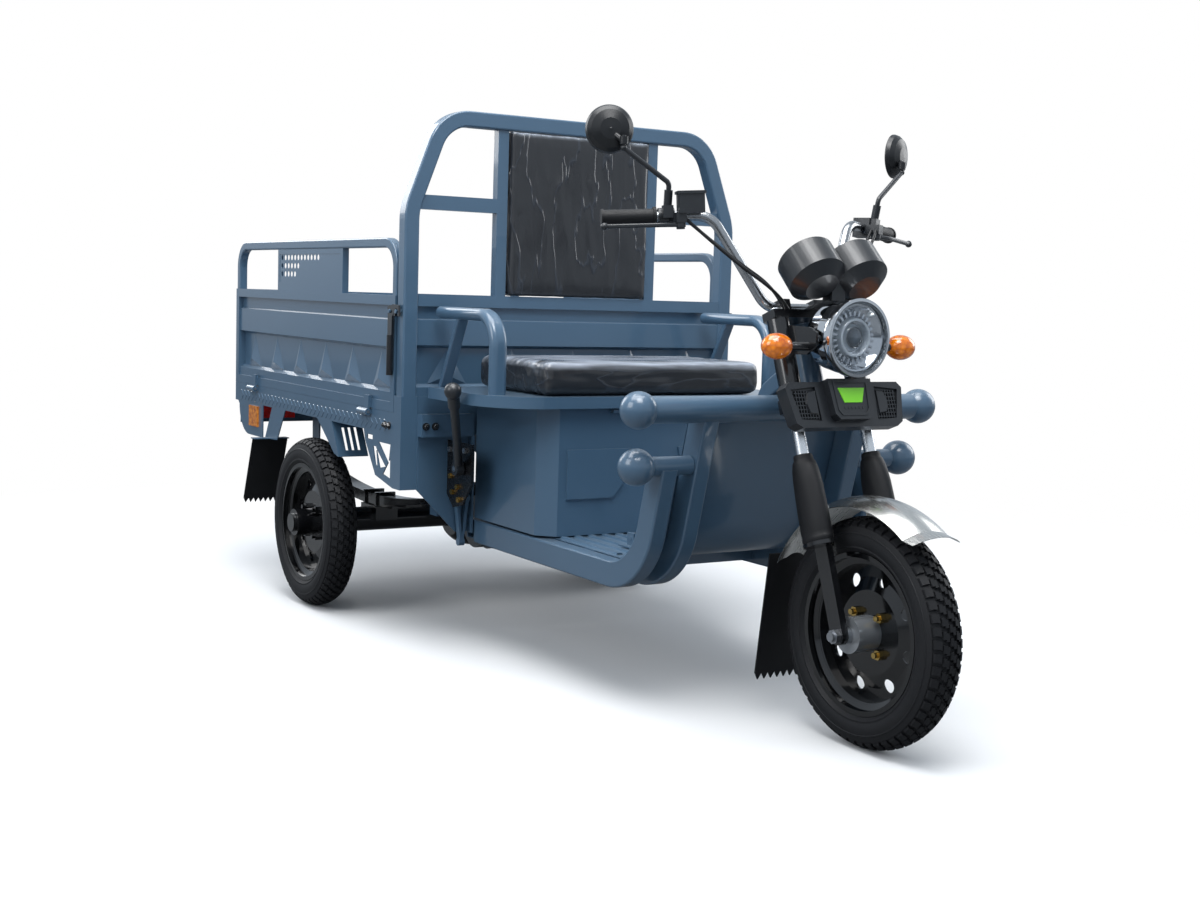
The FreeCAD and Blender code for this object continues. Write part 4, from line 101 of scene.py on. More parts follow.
camera_place = Vector((3.51177, -2.14148, 0.91692))
camera_azimuth = math.radians(58.21)
camera_down = math.radians(5.76)
camera_roll = math.radians(1.8)
camera_lens = 46.775
ahead = Vector((-math.sin(camera_azimuth) * math.cos(camera_down),
                math.cos(camera_azimuth) * math.cos(camera_down), -math.sin(camera_down)))
across = ahead.cross(Vector((0, 0, 1))).normalized()
upward = across.cross(ahead)
camera_right = across * math.cos(camera_roll) + upward * math.sin(camera_roll)
camera_up = upward * math.cos(camera_roll) - across * math.sin(camera_roll)
camera_data = bpy.data.cameras.new("camera")
camera_data.sensor_width = 36.0
camera_data.lens = camera_lens
camera = bpy.data.objects.new("camera", camera_data)
camera_turn = Matrix((camera_right, camera_up, -ahead)).transposed().to_4x4()
camera.matrix_world = Matrix.Translation(camera_place) @ camera_turn
scene.collection.objects.link(camera)
scene.camera = camera
scene.view_settings.view_transform = "Standard"


def soft_lamp(name, place, target, size, power):
    """A square soft box that faces a point."""
    data = bpy.data.lights.new(name, "AREA")
    data.size = size
    data.energy = power
    lamp = bpy.data.objects.new(name, data)
    turn = (Vector(target) - Vector(place)).to_track_quat("-Z", "Y")
    lamp.matrix_world = Matrix.Translation(place) @ turn.to_matrix().to_4x4()
    scene.collection.objects.link(lamp)


soft_lamp("lamp_above", (0.4, -0.6, 4.2), (0.0, 0.0, 0.6), 3.2, 160.0)
soft_lamp("lamp_front", (2.4, -1.0, 4.3), (0.5, 0.0, 0.5), 2.0, 85.0)
soft_lamp("lamp_right", (0.6, -4.4, 3.0), (0.0, 0.0, 0.6), 2.4, 75.0)
soft_lamp("lamp_left", (0.5, 4.2, 2.4), (0.0, 0.0, 0.6), 2.4, 60.0)
soft_lamp("lamp_rear", (-4.0, -1.2, 2.6), (0.0, 0.0, 0.7), 2.2, 60.0)

dome_low, dome_high = 0.1, 0.74
horizon_low, horizon_high = -0.12, 0.02
world = bpy.data.worlds.new("studio")
scene.world = world
world.use_nodes = True
sky = world.node_tree
sky.nodes.clear()
seen = add(sky, "ShaderNodeLightPath")
seen_bright = sums(sky, "MAXIMUM", seen.outputs["Is Camera Ray"], seen.outputs["Is Transmission Ray"])
way = add(sky, "ShaderNodeTexCoord")
height = add(sky, "ShaderNodeSeparateXYZ", {0: way.outputs["Generated"]})
level = ranged(sky, height.outputs["Z"], dome_low, dome_high, horizon_low, horizon_high)
dome = add(sky, "ShaderNodeBackground", {"Color": linear("#dbe6f2"), "Strength": level})
backdrop = add(sky, "ShaderNodeBackground", {"Color": linear("#ffffff"), "Strength": 1.0})
sky_mix = add(sky, "ShaderNodeMixShader", {0: seen_bright, 1: dome.outputs[0], 2: backdrop.outputs[0]})
add(sky, "ShaderNodeOutputWorld", {"Surface": sky_mix.outputs[0]})

floor_reach = 14.0
floor_clear, floor_white = 1.7, 3.4
floor_mesh = bpy.data.meshes.new("floor")
floor_mesh.from_pydata([(-floor_reach, -floor_reach, 0), (floor_reach, -floor_reach, 0),
                        (floor_reach, floor_reach, 0), (-floor_reach, floor_reach, 0)], [], [(0, 1, 2, 3)])
floor = bpy.data.objects.new("floor", floor_mesh)
scene.collection.objects.link(floor)
floor_look, tree, out, place = blank_material("painted_studio_floor")
fade = add(tree, "ShaderNodeMapRange", {"Value": vectors(tree, "LENGTH", place), "From Min": floor_clear,
                                        "From Max": floor_white}, interpolation_type="SMOOTHSTEP")
seen = add(tree, "ShaderNodeLightPath").outputs["Is Camera Ray"]
matt = add(tree, "ShaderNodeBsdfDiffuse", {"Color": mixed(tree, seen, "#77797b", "#dfe0e1")})
white = add(tree, "ShaderNodeEmission", {"Color": linear("#ffffff"), "Strength": 1.0})
share = sums(tree, "MULTIPLY", fade.outputs["Result"], seen)
floor_mix = add(tree, "ShaderNodeMixShader", {0: share, 1: matt.outputs[0], 2: white.outputs[0]})
tree.links.new(floor_mix.outputs[0], out.inputs["Surface"])
floor_mesh.materials.append(floor_look)


# Painted steel: welded tube and pressed sheet, sprayed with blue-grey enamel and baked. The coat is
# glossy with a faint orange peel, and dust dulls what faces up.
def dress(look, *names):
    """Gives CAD nodes a material."""
    for name in names:
        nodes[name].data.materials.clear()
        nodes[name].data.materials.append(look)


peel_width, peel_strength, peel_depth = 0.0035, 0.05, 0.0008
tone_width = 0.35
dust_width = 0.05


def mottle(tree, place, size, detail=2.0, **more):
    """Noise with patches of a size in metres."""
    noisy = {"Vector": place, "Scale": 1 / size, "Detail": detail, **more}
    return add(tree, "ShaderNodeTexNoise", noisy).outputs["Fac"]


def relief(tree, height, strength, distance):
    """The way that a surface faces when it follows a height."""
    bump = {"Height": height, "Strength": strength, "Distance": distance}
    return add(tree, "ShaderNodeBump", bump).outputs["Normal"]


def facing_up(tree, low, high, most=1.0):
    """Nought on faces that look up less than a low share, rising to the most at a high one."""
    normal = add(tree, "ShaderNodeNewGeometry").outputs["Normal"]
    return ranged(tree, add(tree, "ShaderNodeSeparateXYZ", {0: normal}).outputs["Z"], 0.0, most, low, high)


def finish(tree, out, inputs):
    """Ends a material with its surface."""
    skin = add(tree, "ShaderNodeBsdfPrincipled", inputs)
    tree.links.new(skin.outputs[0], out.inputs["Surface"])


def enamel(name, colour, shade, dust, rough):
    """Sprayed enamel: two near tones in slow patches, dust on top faces and orange peel in the coat."""
    made, tree, out, place = blank_material(name)
    tone = mixed(tree, mottle(tree, place, tone_width), colour, shade)
    specks = mottle(tree, place, dust_width, 8.0, Roughness=0.7)
    cover = sums(tree, "MULTIPLY", facing_up(tree, 0.5, 1.0), specks)
    share = sums(tree, "MULTIPLY", cover, dust)
    peel = relief(tree, mottle(tree, place, peel_width, 1.0), peel_strength, peel_depth)
    finish(tree, out, {"Base Color": mixed(tree, share, tone, "#b9bcbc"),
                       "Roughness": sums(tree, "MULTIPLY_ADD", share, 0.6, rough), "Normal": peel,
                       "Coat Weight": 0.6, "Coat Roughness": 0.06})
    return made


blue_enamel = enamel("blue_grey_enamel", "#48637a", "#3f5a72", 0.18, 0.3)
dress(blue_enamel, "chassis_frame", "footwell_frame", "front_shield", "bumper_bars", "battery_box",
      "cargo_bed_frame", "cargo_bed_floor", "headboard", "roll_hoop", "seat_platform", "right_gate",
      "left_gate", "tailgate", "rear_mudguards", "footwell_floor", "brake_shaft")


# Sill emboss: a row of chevrons rolled into the outer face of each side sill of the cargo bed, in the
# same sheet and under the same paint.
def tree_inputs(tree, **kinds):
    """Gives a geometry tree its named inputs and its output, and returns the input node."""
    tree.interface.new_socket("Geometry", in_out="INPUT", socket_type="NodeSocketGeometry")
    for name, kind in kinds.items():
        tree.interface.new_socket(name, in_out="INPUT", socket_type="NodeSocket" + kind)
    tree.interface.new_socket("Geometry", in_out="OUTPUT", socket_type="NodeSocketGeometry")
    return tree.nodes.new("NodeGroupInput")


def end_tree(tree, copies, look):
    """Realises the copies, gives them their material and ends the tree."""
    real = add(tree, "GeometryNodeRealizeInstances", {"Geometry": copies})
    painted = add(tree, "GeometryNodeSetMaterial", {"Geometry": real.outputs[0], "Material": look})
    add(tree, "NodeGroupOutput", {0: painted.outputs[0]})


row_tree = bpy.data.node_groups.new("row_of_pieces", "GeometryNodeTree")
given = tree_inputs(row_tree, Count="Int", Step="Vector", Look="Material")
number = add(row_tree, "GeometryNodeInputIndex")
spot = add(row_tree, "ShaderNodeVectorMath", {0: given.outputs["Step"], "Scale": number.outputs[0]},
           operation="SCALE")
row = add(row_tree, "GeometryNodePoints", {"Count": given.outputs["Count"], "Position": spot.outputs[0]})
copies = add(row_tree, "GeometryNodeInstanceOnPoints",
             {"Points": row.outputs[0], "Instance": given.outputs["Geometry"]})
end_tree(row_tree, copies.outputs[0], given.outputs["Look"])

ring_tree = bpy.data.node_groups.new("ring_of_pieces", "GeometryNodeTree")
given = tree_inputs(ring_tree, Count="Int", Start="Float", Sweep="Float", Look="Material")
number = add(ring_tree, "GeometryNodeInputIndex")
share = sums(ring_tree, "DIVIDE", given.outputs["Sweep"], given.outputs["Count"])
angle = sums(ring_tree, "MULTIPLY_ADD", number.outputs[0], share, given.outputs["Start"])
about_y = add(ring_tree, "ShaderNodeCombineXYZ", {"Y": angle})
turn = add(ring_tree, "FunctionNodeEulerToRotation", {0: about_y.outputs[0]})
hub_points = add(ring_tree, "GeometryNodePoints", {"Count": given.outputs["Count"]})
copies = add(ring_tree, "GeometryNodeInstanceOnPoints", {"Points": hub_points.outputs[0],
                                                         "Instance": given.outputs["Geometry"],
                                                         "Rotation": turn.outputs[0]})
end_tree(ring_tree, copies.outputs[0], given.outputs["Look"])


def repeated(shape, tree, **values):
    """Runs a geometry tree on a mesh and gives the plain mesh that comes out."""
    holder = bpy.data.objects.new("holder", shape)
    scene.collection.objects.link(holder)
    modifier = holder.modifiers.new("repeat", "NODES")
    modifier.node_group = tree
    for item in tree.interface.items_tree:
        if item.in_out == "INPUT" and item.name in values:
            modifier[item.identifier] = values[item.name]
    bpy.context.view_layer.update()
    graph = bpy.context.evaluated_depsgraph_get()
    result = bpy.data.meshes.new_from_object(holder.evaluated_get(graph))
    bpy.data.objects.remove(holder)
    return result


def mesh_of(points, faces):
    """A mesh with its faces turned outwards."""
    made = bpy.data.meshes.new("shape")
    made.from_pydata(points, [], faces)
    work = bmesh.new()
    work.from_mesh(made)
    bmesh.ops.remove_doubles(work, verts=work.verts, dist=1e-6)
    bmesh.ops.recalc_face_normals(work, faces=work.faces)
    work.to_mesh(made)
    work.free()
    return made


def prism(outline, low, high, taper=1.0):
    """A plate from a flat outline. The upper face is the outline drawn in by the taper."""
    count = len(outline)
    mid = [sum(p[i] for p in outline) / count for i in (0, 1)]
    points = [(u, v, low) for u, v in outline]
    points += [(mid[0] + (u - mid[0]) * taper, mid[1] + (v - mid[1]) * taper, high) for u, v in outline]
    faces = [tuple(range(count - 1, -1, -1)), tuple(range(count, 2 * count))]
    faces += [(i, (i + 1) % count, count + (i + 1) % count, count + i) for i in range(count)]
    return mesh_of(points, faces)


def placed(shape, matrix):
    """The mesh after a change of place."""
    shape.transform(matrix)
    if matrix.determinant() < 0:
        shape.flip_normals()
    return shape


def joined(*shapes):
    """One mesh from several."""
    work = bmesh.new()
    for shape in shapes:
        work.from_mesh(shape)
    made = bpy.data.meshes.new("joined")
    work.to_mesh(made)
    work.free()
    return made


def fit(name, shape, look, body, slot, *stands_for, smooth=0.6):
    """Makes a piece from a mesh. It rides on a body, takes the given finish and may stand for CAD nodes. The
    slot is not used.
    """
    shape.name = name
    shape.materials.clear()
    shape.materials.append(look)
    if smooth:
        shape.shade_smooth()
        shape.set_sharp_from_angle(angle=smooth)
    made = bpy.data.objects.new(name, shape)
    scene.collection.objects.link(made)
    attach(made, body)
    if stands_for:
        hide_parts(*stands_for)
    return made


sill_face = 0.508
chevron_low, chevron_high = 0.545, 0.576
chevron_run, chevron_band = 0.016, 0.007
chevron_rise, chevron_taper = 0.0012, 0.9
chevron_pitch = 0.031
chevron_first = -1.30
chevron_count = 37
chevron_mid = (chevron_low + chevron_high) / 2
chevron_line = [(0, chevron_low), (chevron_band, chevron_low), (chevron_band + chevron_run, chevron_mid),
                (chevron_band, chevron_high), (0, chevron_high), (chevron_run, chevron_mid)]
chevron = prism(chevron_line, 0, chevron_rise, chevron_taper)
chevron_row = repeated(chevron, row_tree, Count=chevron_count, Step=(chevron_pitch, 0, 0), Look=blue_enamel)
stand_up = Matrix(((1, 0, 0, chevron_first), (0, 0, -1, -sill_face), (0, 1, 0, 0), (0, 0, 0, 1)))
right_row = placed(chevron_row, stand_up)
left_row = placed(right_row.copy(), Matrix.Scale(-1, 4, (0, 1, 0)))
fit("sill_chevrons", joined(right_row, left_row), blue_enamel, "chassis", "blue_paint", smooth=0)

# Black enamel: the fork's yokes, covers and legs, the axle, springs, latches and pedal. Steel parts,
# dipped or sprayed gloss black and bolted on after painting.
black_enamel = enamel("gloss_black_enamel", "#0d0e10", "#141518", 0.3, 0.2)
dress(black_enamel, "steering_yokes", "fork_shrouds", "fork_lower_legs", "rear_axle", "leaf_springs",
      "right_gate_latch", "left_gate_latch", "brake_pedal")


# Plated steel and bolts: hinge pins and front axle are zinc-plated, with a fine speckle. The bolts of the
# lever plate are plated too, yellow at its foot. Those of the front corner plates are painted black.
def metal(name, colour, shade, rough, grain, stretch=(1.0, 1.0, 1.0), depth=0.02):
    """Bare or plated metal: two tones and a roughness that follow a fine grain, which may be drawn out."""
    made, tree, out, place = blank_material(name)
    drawn = add(tree, "ShaderNodeMapping", {"Vector": place, "Scale": stretch}).outputs[0]
    speck = mottle(tree, drawn, grain, 4.0)
    finish(tree, out, {"Base Color": mixed(tree, speck, colour, shade), "Metallic": 1.0,
                       "Roughness": ranged(tree, speck, rough * 0.7, rough * 1.4),
                       "Normal": relief(tree, speck, depth, 0.001)})
    return made


zinc = metal("zinc_plated_steel", "#b9bcc0", "#8f9297", 0.32, 0.004)
dress(zinc, "hinge_pins", "front_axle")


def ring_points(radius, count, height):
    """Points round a circle at a height."""
    angles = [i * math.tau / count for i in range(count)]
    return [(radius * math.cos(angle), radius * math.sin(angle), height) for angle in angles]


def skinned(rings, close=True):
    """A skin over rings of points, each with as many points, with closed ends."""
    count = len(rings[0])
    points = [p for ring in rings for p in ring]
    faces = []
    for level in range(len(rings) - 1):
        for i in range(count):
            j = (i + 1) % count
            low, high = level * count, (level + 1) * count
            faces.append((low + i, low + j, high + j, high + i))
    if close:
        faces.append(tuple(range(count - 1, -1, -1)))
        faces.append(tuple(range(len(points) - count, len(points))))
    return mesh_of(points, faces)


def bolt_head(across, height, washer):
    """A hexagon head on a washer with a short thread end, standing on the plane z = 0."""
    corner = across / math.sqrt(3)
    seat = skinned([ring_points(washer, 20, 0), ring_points(washer, 20, washer_thick)])
    hexagon = skinned([ring_points(corner, 6, washer_thick), ring_points(corner, 6, height * 0.85),
                       ring_points(corner * 0.86, 6, height)])
    thread = skinned([ring_points(across * 0.26, 12, height),
                      ring_points(across * 0.22, 12, height + thread_end)])
    return joined(seat, hexagon, thread)


def facing_to(place, direction):
    """A change of place that puts the plane z = 0 at a point, with z along a direction."""
    return Matrix.Translation(place) @ Vector(direction).to_track_quat("Z", "Y").to_matrix().to_4x4()


def bolted_plate(name, face, level):
    """A black plate in the xz plane. Bolt heads beyond its face are zinc above a level, yellow below."""
    made, tree, out, place = blank_material(name)
    axes = add(tree, "ShaderNodeSeparateXYZ", {0: place})
    head = sums(tree, "LESS_THAN", axes.outputs["Y"], face)
    low = sums(tree, "LESS_THAN", axes.outputs["Z"], level)
    plating = mixed(tree, low, "#c3c6ca", "#c29a52")
    finish(tree, out, {"Base Color": mixed(tree, head, "#0d0e10", plating), "Metallic": head,
                       "Roughness": ranged(tree, mottle(tree, place, 0.004, 4.0), 0.18, 0.38)})
    return made


lever_plate_face = -0.3784
yellow_level = 0.455
dress(bolted_plate("black_plate_with_plated_bolts", lever_plate_face, yellow_level), "gear_quadrant")
washer_thick, thread_end = 0.0016, 0.003
bolt_across, bolt_height, bolt_washer = 0.013, 0.009, 0.010
front_plate_x, front_bolt_z = -0.0502, 0.567
side_plate_y, side_bolt_z = 0.5082, 0.562
bolt_seats = []
for side in (-1, 1):
    bolt_seats += [((front_plate_x, side * y, front_bolt_z), (1, 0, 0)) for y in (0.452, 0.426)]
    bolt_seats += [((x, side * side_plate_y, side_bolt_z), (0, side, 0)) for x in (-0.172, -0.150)]
corner_bolts = [placed(bolt_head(bolt_across, bolt_height, bolt_washer), facing_to(seat, direction))
                for seat, direction in bolt_seats]
fit("corner_plate_bolts", joined(*corner_bolts), black_enamel, "chassis", "black_paint")


# Wheels: pressed steel discs in gloss black. The front has a grey cast hub and yellow passivated nuts, the
# rear hubs and nuts are black. They share a node with the disc, so distance from the axle tells them apart.
def wheel_steel(name, mid_x, mid_z, nut_face, outward, hub_colour, nut_colour):
    """Gloss black disc with a hub and nuts of other colours, told apart by the distance from the axle."""
    made, tree, out, place = blank_material(name)
    local = vectors(tree, "SUBTRACT", place, (mid_x, 0, mid_z))
    radius = vectors(tree, "LENGTH", vectors(tree, "MULTIPLY", local, (1, 0, 1)))
    axial = add(tree, "ShaderNodeSeparateXYZ", {0: local}).outputs["Y"]
    proud = sums(tree, "GREATER_THAN", sums(tree, "MULTIPLY", axial, outward), nut_face)
    near_nut = sums(tree, "COMPARE", radius, nut_circle, nut_reach)
    nut = sums(tree, "MULTIPLY", near_nut, proud)
    inner = sums(tree, "LESS_THAN", radius, hub_radius)
    speck = mottle(tree, place, 0.02, 5.0)
    hub = mixed(tree, inner, mixed(tree, speck, "#050506", "#0a0b0d"), hub_colour)
    finish(tree, out, {"Base Color": mixed(tree, nut, hub, nut_colour),
                       "Metallic": sums(tree, "MULTIPLY_ADD", inner, 0.5, nut),
                       "Roughness": ranged(tree, speck, 0.08, 0.2), "Coat Weight": 0.5,
                       "Coat Roughness": 0.05})
    return made


nut_circle, nut_reach = 0.054, 0.0125
hub_radius = 0.0383
axle_z = 0.24
front_x, rear_x = 1.13275, -0.67825
half_track = 0.5
nut_face = 0.0045
dark_hub, dark_nut = "#17181b", "#3a3b3d"
front_steel = wheel_steel("gloss_black_front_wheel_steel", front_x, axle_z, nut_face, -1.0, "#8b8f93",
                          "#c2a35c")
dress(front_steel, "front_rim", "front_hub")
rear_nut_face = half_track + nut_face
for side_name, outward in (("right", -1.0), ("left", 1.0)):
    rear_steel = wheel_steel("gloss_black_" + side_name + "_wheel_steel", rear_x, axle_z, rear_nut_face,
                             outward, dark_hub, dark_nut)
    dress(rear_steel, side_name + "_rear_rim")


# Tyres: moulded rubber with a carcass that bulges over the rim, rings on the sidewall and five rows of
# interlocking tread blocks. New rubber is near black and dull, with moulding bloom on the sidewall.
def rubber(name, colour, shade, rough, grain, depth):
    """Moulded rubber: dull near-black tones with a fine tooth."""
    made, tree, out, place = blank_material(name)
    bloom = mottle(tree, place, 0.06, 6.0, Roughness=0.65)
    finish(tree, out, {"Base Color": mixed(tree, bloom, colour, shade),
                       "Roughness": ranged(tree, bloom, rough - 0.1, rough + 0.1),
                       "Normal": relief(tree, mottle(tree, place, grain), depth, 0.001),
                       "Specular IOR Level": 0.35})
    return made


tyre_rubber = rubber("moulded_tyre_rubber", "#0c0d10", "#15161a", 0.6, 0.002, 0.15)
crown_radius = 0.240
crown_sweep = 0.0536
tread_depth, tread_root = 0.006, 0.002
foot_spread = 8e-5
shoulder_y = 0.0382
tread_pitch_count = 56


def crown(y):
    """Radius of the tread's outside at a distance from the middle of the tyre."""
    return crown_radius - crown_sweep + math.sqrt(crown_sweep ** 2 - min(abs(y), shoulder_y) ** 2)


side_line = [(0.1606, 0.0305), (0.1682, 0.0309), (0.1686, 0.0350), (0.1720, 0.0385), (0.1752, 0.0408),
             (0.1765, 0.0424), (0.1790, 0.0426), (0.1802, 0.0420), (0.1860, 0.0440), (0.1922, 0.0450),
             (0.1990, 0.0447), (0.2050, 0.0436), (0.2064, 0.0443), (0.2082, 0.0440), (0.2094, 0.0424),
             (0.2160, 0.0404), (0.2205, 0.0386)]
crown_line = [(crown(y / 1000) - tread_depth, y / 1000) for y in (37, 32, 24, 14, 0)]
half_line = side_line + crown_line
tyre_line = half_line + [(r, -y) for r, y in reversed(half_line[:-1])]
carcass_steps = 128
carcass_rings = []
for step in range(carcass_steps):
    turn_angle = step * math.tau / carcass_steps
    carcass_rings.append([(r * math.sin(turn_angle), y, r * math.cos(turn_angle)) for r, y in tyre_line])
carcass_rings.append(carcass_rings[0])
carcass = skinned(carcass_rings, close=False)


def tread_block(outline):
    """One block over an outline of places along and across the tread, in millimetres."""
    top, foot = [], []
    mid = [sum(p[i] for p in outline) / len(outline) for i in (0, 1)]
    for along, across in outline:
        run, y = along / 1000, across / 1000
        top.append((run, y, crown(y) - run ** 2 / (2 * crown_radius)))
        foot.append((run + (along - mid[0]) * foot_spread, y + (across - mid[1]) * foot_spread,
                     crown(y) - tread_depth - tread_root))
    count = len(outline)
    faces = [tuple(range(count)), tuple(range(2 * count - 1, count - 1, -1))]
    faces += [(i, i + count, (i + 1) % count + count, (i + 1) % count) for i in range(count)]
    return mesh_of(top + foot, faces)


centre_block = [(-10, -7), (5, -7), (5, 0), (10.5, 0), (10.5, 7), (-4.5, 7), (-4.5, 0), (-10, 0)]
middle_block = [(-9, 9.5), (7, 9.5), (7, 15), (11, 15), (11, 21.5), (-5, 21.5), (-5, 16), (-9, 16)]
shoulder_block = [(-9, 24.5), (8, 24.5), (10, 30), (10, 36.5), (-7, 36.5), (-7, 31)]
pitch = math.tau / tread_pitch_count
tread_rows = []
for outline, offset in ((centre_block, 0.0), (middle_block, 0.5), (shoulder_block, 0.1)):
    both = [outline] if outline is centre_block else [outline, [(-u, -v) for u, v in reversed(outline)]]
    for row_outline in both:
        block = tread_block(row_outline)
        tread_rows.append(repeated(block, ring_tree, Count=tread_pitch_count, Start=offset * pitch,
                                   Sweep=math.tau, Look=tyre_rubber))
whole_tyre = joined(carcass, *tread_rows)
for node, body, place in (("front_tyre", "front_wheel", (front_x, 0, axle_z)),
                          ("right_rear_tyre", "right_rear_wheel", (rear_x, -half_track, axle_z)),
                          ("left_rear_tyre", "left_rear_wheel", (rear_x, half_track, axle_z))):
    shape = placed(whole_tyre.copy(), Matrix.Translation(place))
    fit(node + "_treaded", shape, tyre_rubber, body, "tyre", node)

# Mud flaps and grips: moulded black rubber with a fine tooth. The flaps hang from their guards and are
# cut to teeth at the foot, and the grips are pushed on the bar.
black_rubber = rubber("moulded_black_rubber", "#0a0b0d", "#131418", 0.55, 0.0016, 0.2)
dress(black_rubber, "rear_mud_flaps", "front_mud_flap", "left_grip", "throttle_grip")


# Drive motor: a cast aluminium case bolted to the axle. The sand of the mould leaves a fine rough
# texture on it.
cast_aluminium = metal("cast_aluminium", "#8e9194", "#74777a", 0.5, 0.003, depth=0.15)
dress(cast_aluminium, "drive_motor")


# Battery pack: sealed cells in moulded plastic cases, which stand in the box under the seat. They are
# matt and lightly textured.
def plastic(name, colour, shade, rough, grain, depth, coat=0.0):
    """Moulded plastic: close tones, a fine spark texture and roughness that drifts a little."""
    made, tree, out, place = blank_material(name)
    drift = mottle(tree, place, 0.08, 3.0)
    finish(tree, out, {"Base Color": mixed(tree, drift, colour, shade),
                       "Roughness": ranged(tree, drift, rough - 0.06, rough + 0.06),
                       "Normal": relief(tree, mottle(tree, place, grain, 1.0), depth, 0.0005),
                       "Coat Weight": coat, "Coat Roughness": 0.08})
    return made


dress(plastic("battery_case_plastic", "#24272c", "#2c3036", 0.5, 0.0015, 0.2), "battery_pack")


# Cushions: foam pads in black vinyl, bagged in thin clear film for delivery. The film is loose, so it
# runs in drawn folds. Its streaks are coat reflections off the folds and painted highlights: lighter
# lines painted along the creases, and a pale painted sky reflection in patches where it faces up.
vinyl_grain = 0.003
crease_width, crease_edge = 0.07, 0.02
reflection_patch_width = 0.045


def film_wrapped(name, run, painted_sky_reflection):
    """Black vinyl under loose clear film, creased one way, with painted crease highlights and a painted sky
    reflection on top.
    """
    made, tree, out, place = blank_material(name)
    grain = add(tree, "ShaderNodeTexVoronoi", {"Vector": place, "Scale": 1 / vinyl_grain}).outputs["Distance"]
    drawn = add(tree, "ShaderNodeMapping", {"Vector": place, "Scale": run}).outputs[0]
    crease = mottle(tree, drawn, crease_width, 3.0, Roughness=0.5, Distortion=0.3)
    ridge = sums(tree, "ABSOLUTE", sums(tree, "SUBTRACT", crease, 0.5))
    sharp = ranged(tree, ridge, 1.0, 0.0, 0.0, crease_edge)
    # Painted highlights: thin lines along the creases are painted lighter than the black vinyl.
    vinyl = mixed(tree, sharp, "#080d15", "#18202b")
    # Painted sky reflection: faces that look up are painted pale in drawn-out patches, where the film would
    # mirror the sky.
    reflection_patch = ranged(tree, mottle(tree, drawn, reflection_patch_width, 4.0, Distortion=0.5), 0.0, 1.0, 0.3, 0.6)
    painted_sky_reflection_share = sums(tree, "MULTIPLY", facing_up(tree, 0.15, 0.9, painted_sky_reflection), reflection_patch)
    finish(tree, out, {"Base Color": mixed(tree, painted_sky_reflection_share, vinyl, "#a4adba"), "Roughness": 0.6,
                       "Normal": relief(tree, grain, 0.25, 0.0006), "Coat Weight": 0.75,
                       "Coat Roughness": 0.14, "Coat IOR": 1.5,
                       "Coat Normal": relief(tree, sharp, 0.4, 0.004)})
    return made


pad_voxel = 0.006
pad_frames = 20
pad_pressure = 4.0
fold_octaves = ((1.0, 1.0), (2.3, 0.5))
fold_middle = 0.6
gather_start, gather_gain = 0.42, 14


def evaluated_mesh(holder):
    """A plain mesh of an object as its modifiers leave it."""
    return bpy.data.meshes.new_from_object(holder.evaluated_get(bpy.context.evaluated_depsgraph_get()))


def stuffed(node, inset, edge, cap, crease_depth, crease_run):
    """Blows up a squared pad as cloth in a CAD pad's room, holds it there and draws film folds in it."""
    low, high = [Vector(corner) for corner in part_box(node)]
    middle, size = (low + high) / 2, high - low
    pad = bpy.data.meshes.new("pad")
    work = bmesh.new()
    bmesh.ops.create_cube(work, size=1.0)
    for vertex in work.verts:
        vertex.co = Vector(middle[i] + vertex.co[i] * (size[i] - 2 * inset[i]) for i in range(3))
    bmesh.ops.bevel(work, geom=work.edges[:], offset=edge, segments=4, affect="EDGES", profile=0.5)
    work.to_mesh(pad)
    work.free()
    holder = bpy.data.objects.new("pad", pad)
    scene.collection.objects.link(holder)
    remesh = holder.modifiers.new("remesh", "REMESH")
    remesh.mode = "VOXEL"
    remesh.voxel_size = pad_voxel
    bpy.context.view_layer.update()
    even = evaluated_mesh(holder)
    holder.modifiers.remove(remesh)
    holder.data = even
    before = [vertex.co.copy() for vertex in even.vertices]
    after = before
    cloth = holder.modifiers.new("cloth", "CLOTH")
    cloth.settings.use_pressure = True
    cloth.settings.uniform_pressure_force = pad_pressure
    cloth.settings.effector_weights.gravity = 0.0
    cloth.point_cache.frame_start = 1
    cloth.point_cache.frame_end = pad_frames
    for step in range(1, pad_frames + 1):
        scene.frame_set(step)
    blown = evaluated_mesh(holder)
    after = [vertex.co.copy() for vertex in blown.vertices]
    holder.modifiers.remove(cloth)
    scene.frame_set(1)
    bpy.data.objects.remove(holder)
    normals = [vertex.normal.copy() for vertex in even.vertices]
    for vertex, start, end, normal in zip(even.vertices, before, after, normals):
        move = end - start
        if move.length > cap:
            move *= cap / move.length
        spot = start + move
        fold = 0.0
        for octave, weight in fold_octaves:
            sample = Vector(spot[i] * crease_run[i] * octave for i in range(3))
            fold += weight * (1 - 2 * abs(noise.noise(sample)))
        gather = max(0.0, abs(spot.y - middle.y) / size.y - gather_start) * gather_gain
        spot += normal * (crease_depth * (1 + gather) * (fold - fold_middle))
        for axis in range(3):
            spot[axis] = min(max(spot[axis], low[axis]), high[axis])
        vertex.co = spot
    even.update()
    return even


seat_shape = stuffed("seat_cushion", (0.004, 0.004, 0.003), 0.020, 0.003, 0.0013, (26.0, 5.0, 26.0))
back_shape = stuffed("backrest_cushion", (0.004, 0.003, 0.0), 0.007, 0.002, 0.0011, (22.0, 22.0, 5.0))
pad_round = 1
pad_smooth = 3.2
# How much of the painted sky reflection the film's upper faces take.
film_painted_sky_reflection = 0.8
pads = (("seat_pad", seat_shape, "seat_cushion", "seat", (1.0, 0.2, 1.0)),
        ("backrest_pad", back_shape, "backrest_cushion", "chassis", (1.0, 1.0, 0.25)))
for name, shape, node, body, run in pads:
    film = film_wrapped("vinyl_in_clear_film_" + name, run, film_painted_sky_reflection)
    pad = fit(name, shape, film, body, "seat_vinyl", node, smooth=pad_smooth)
    finer = pad.modifiers.new("finer", "SUBSURF")
    finer.levels = pad_round
    finer.render_levels = pad_round


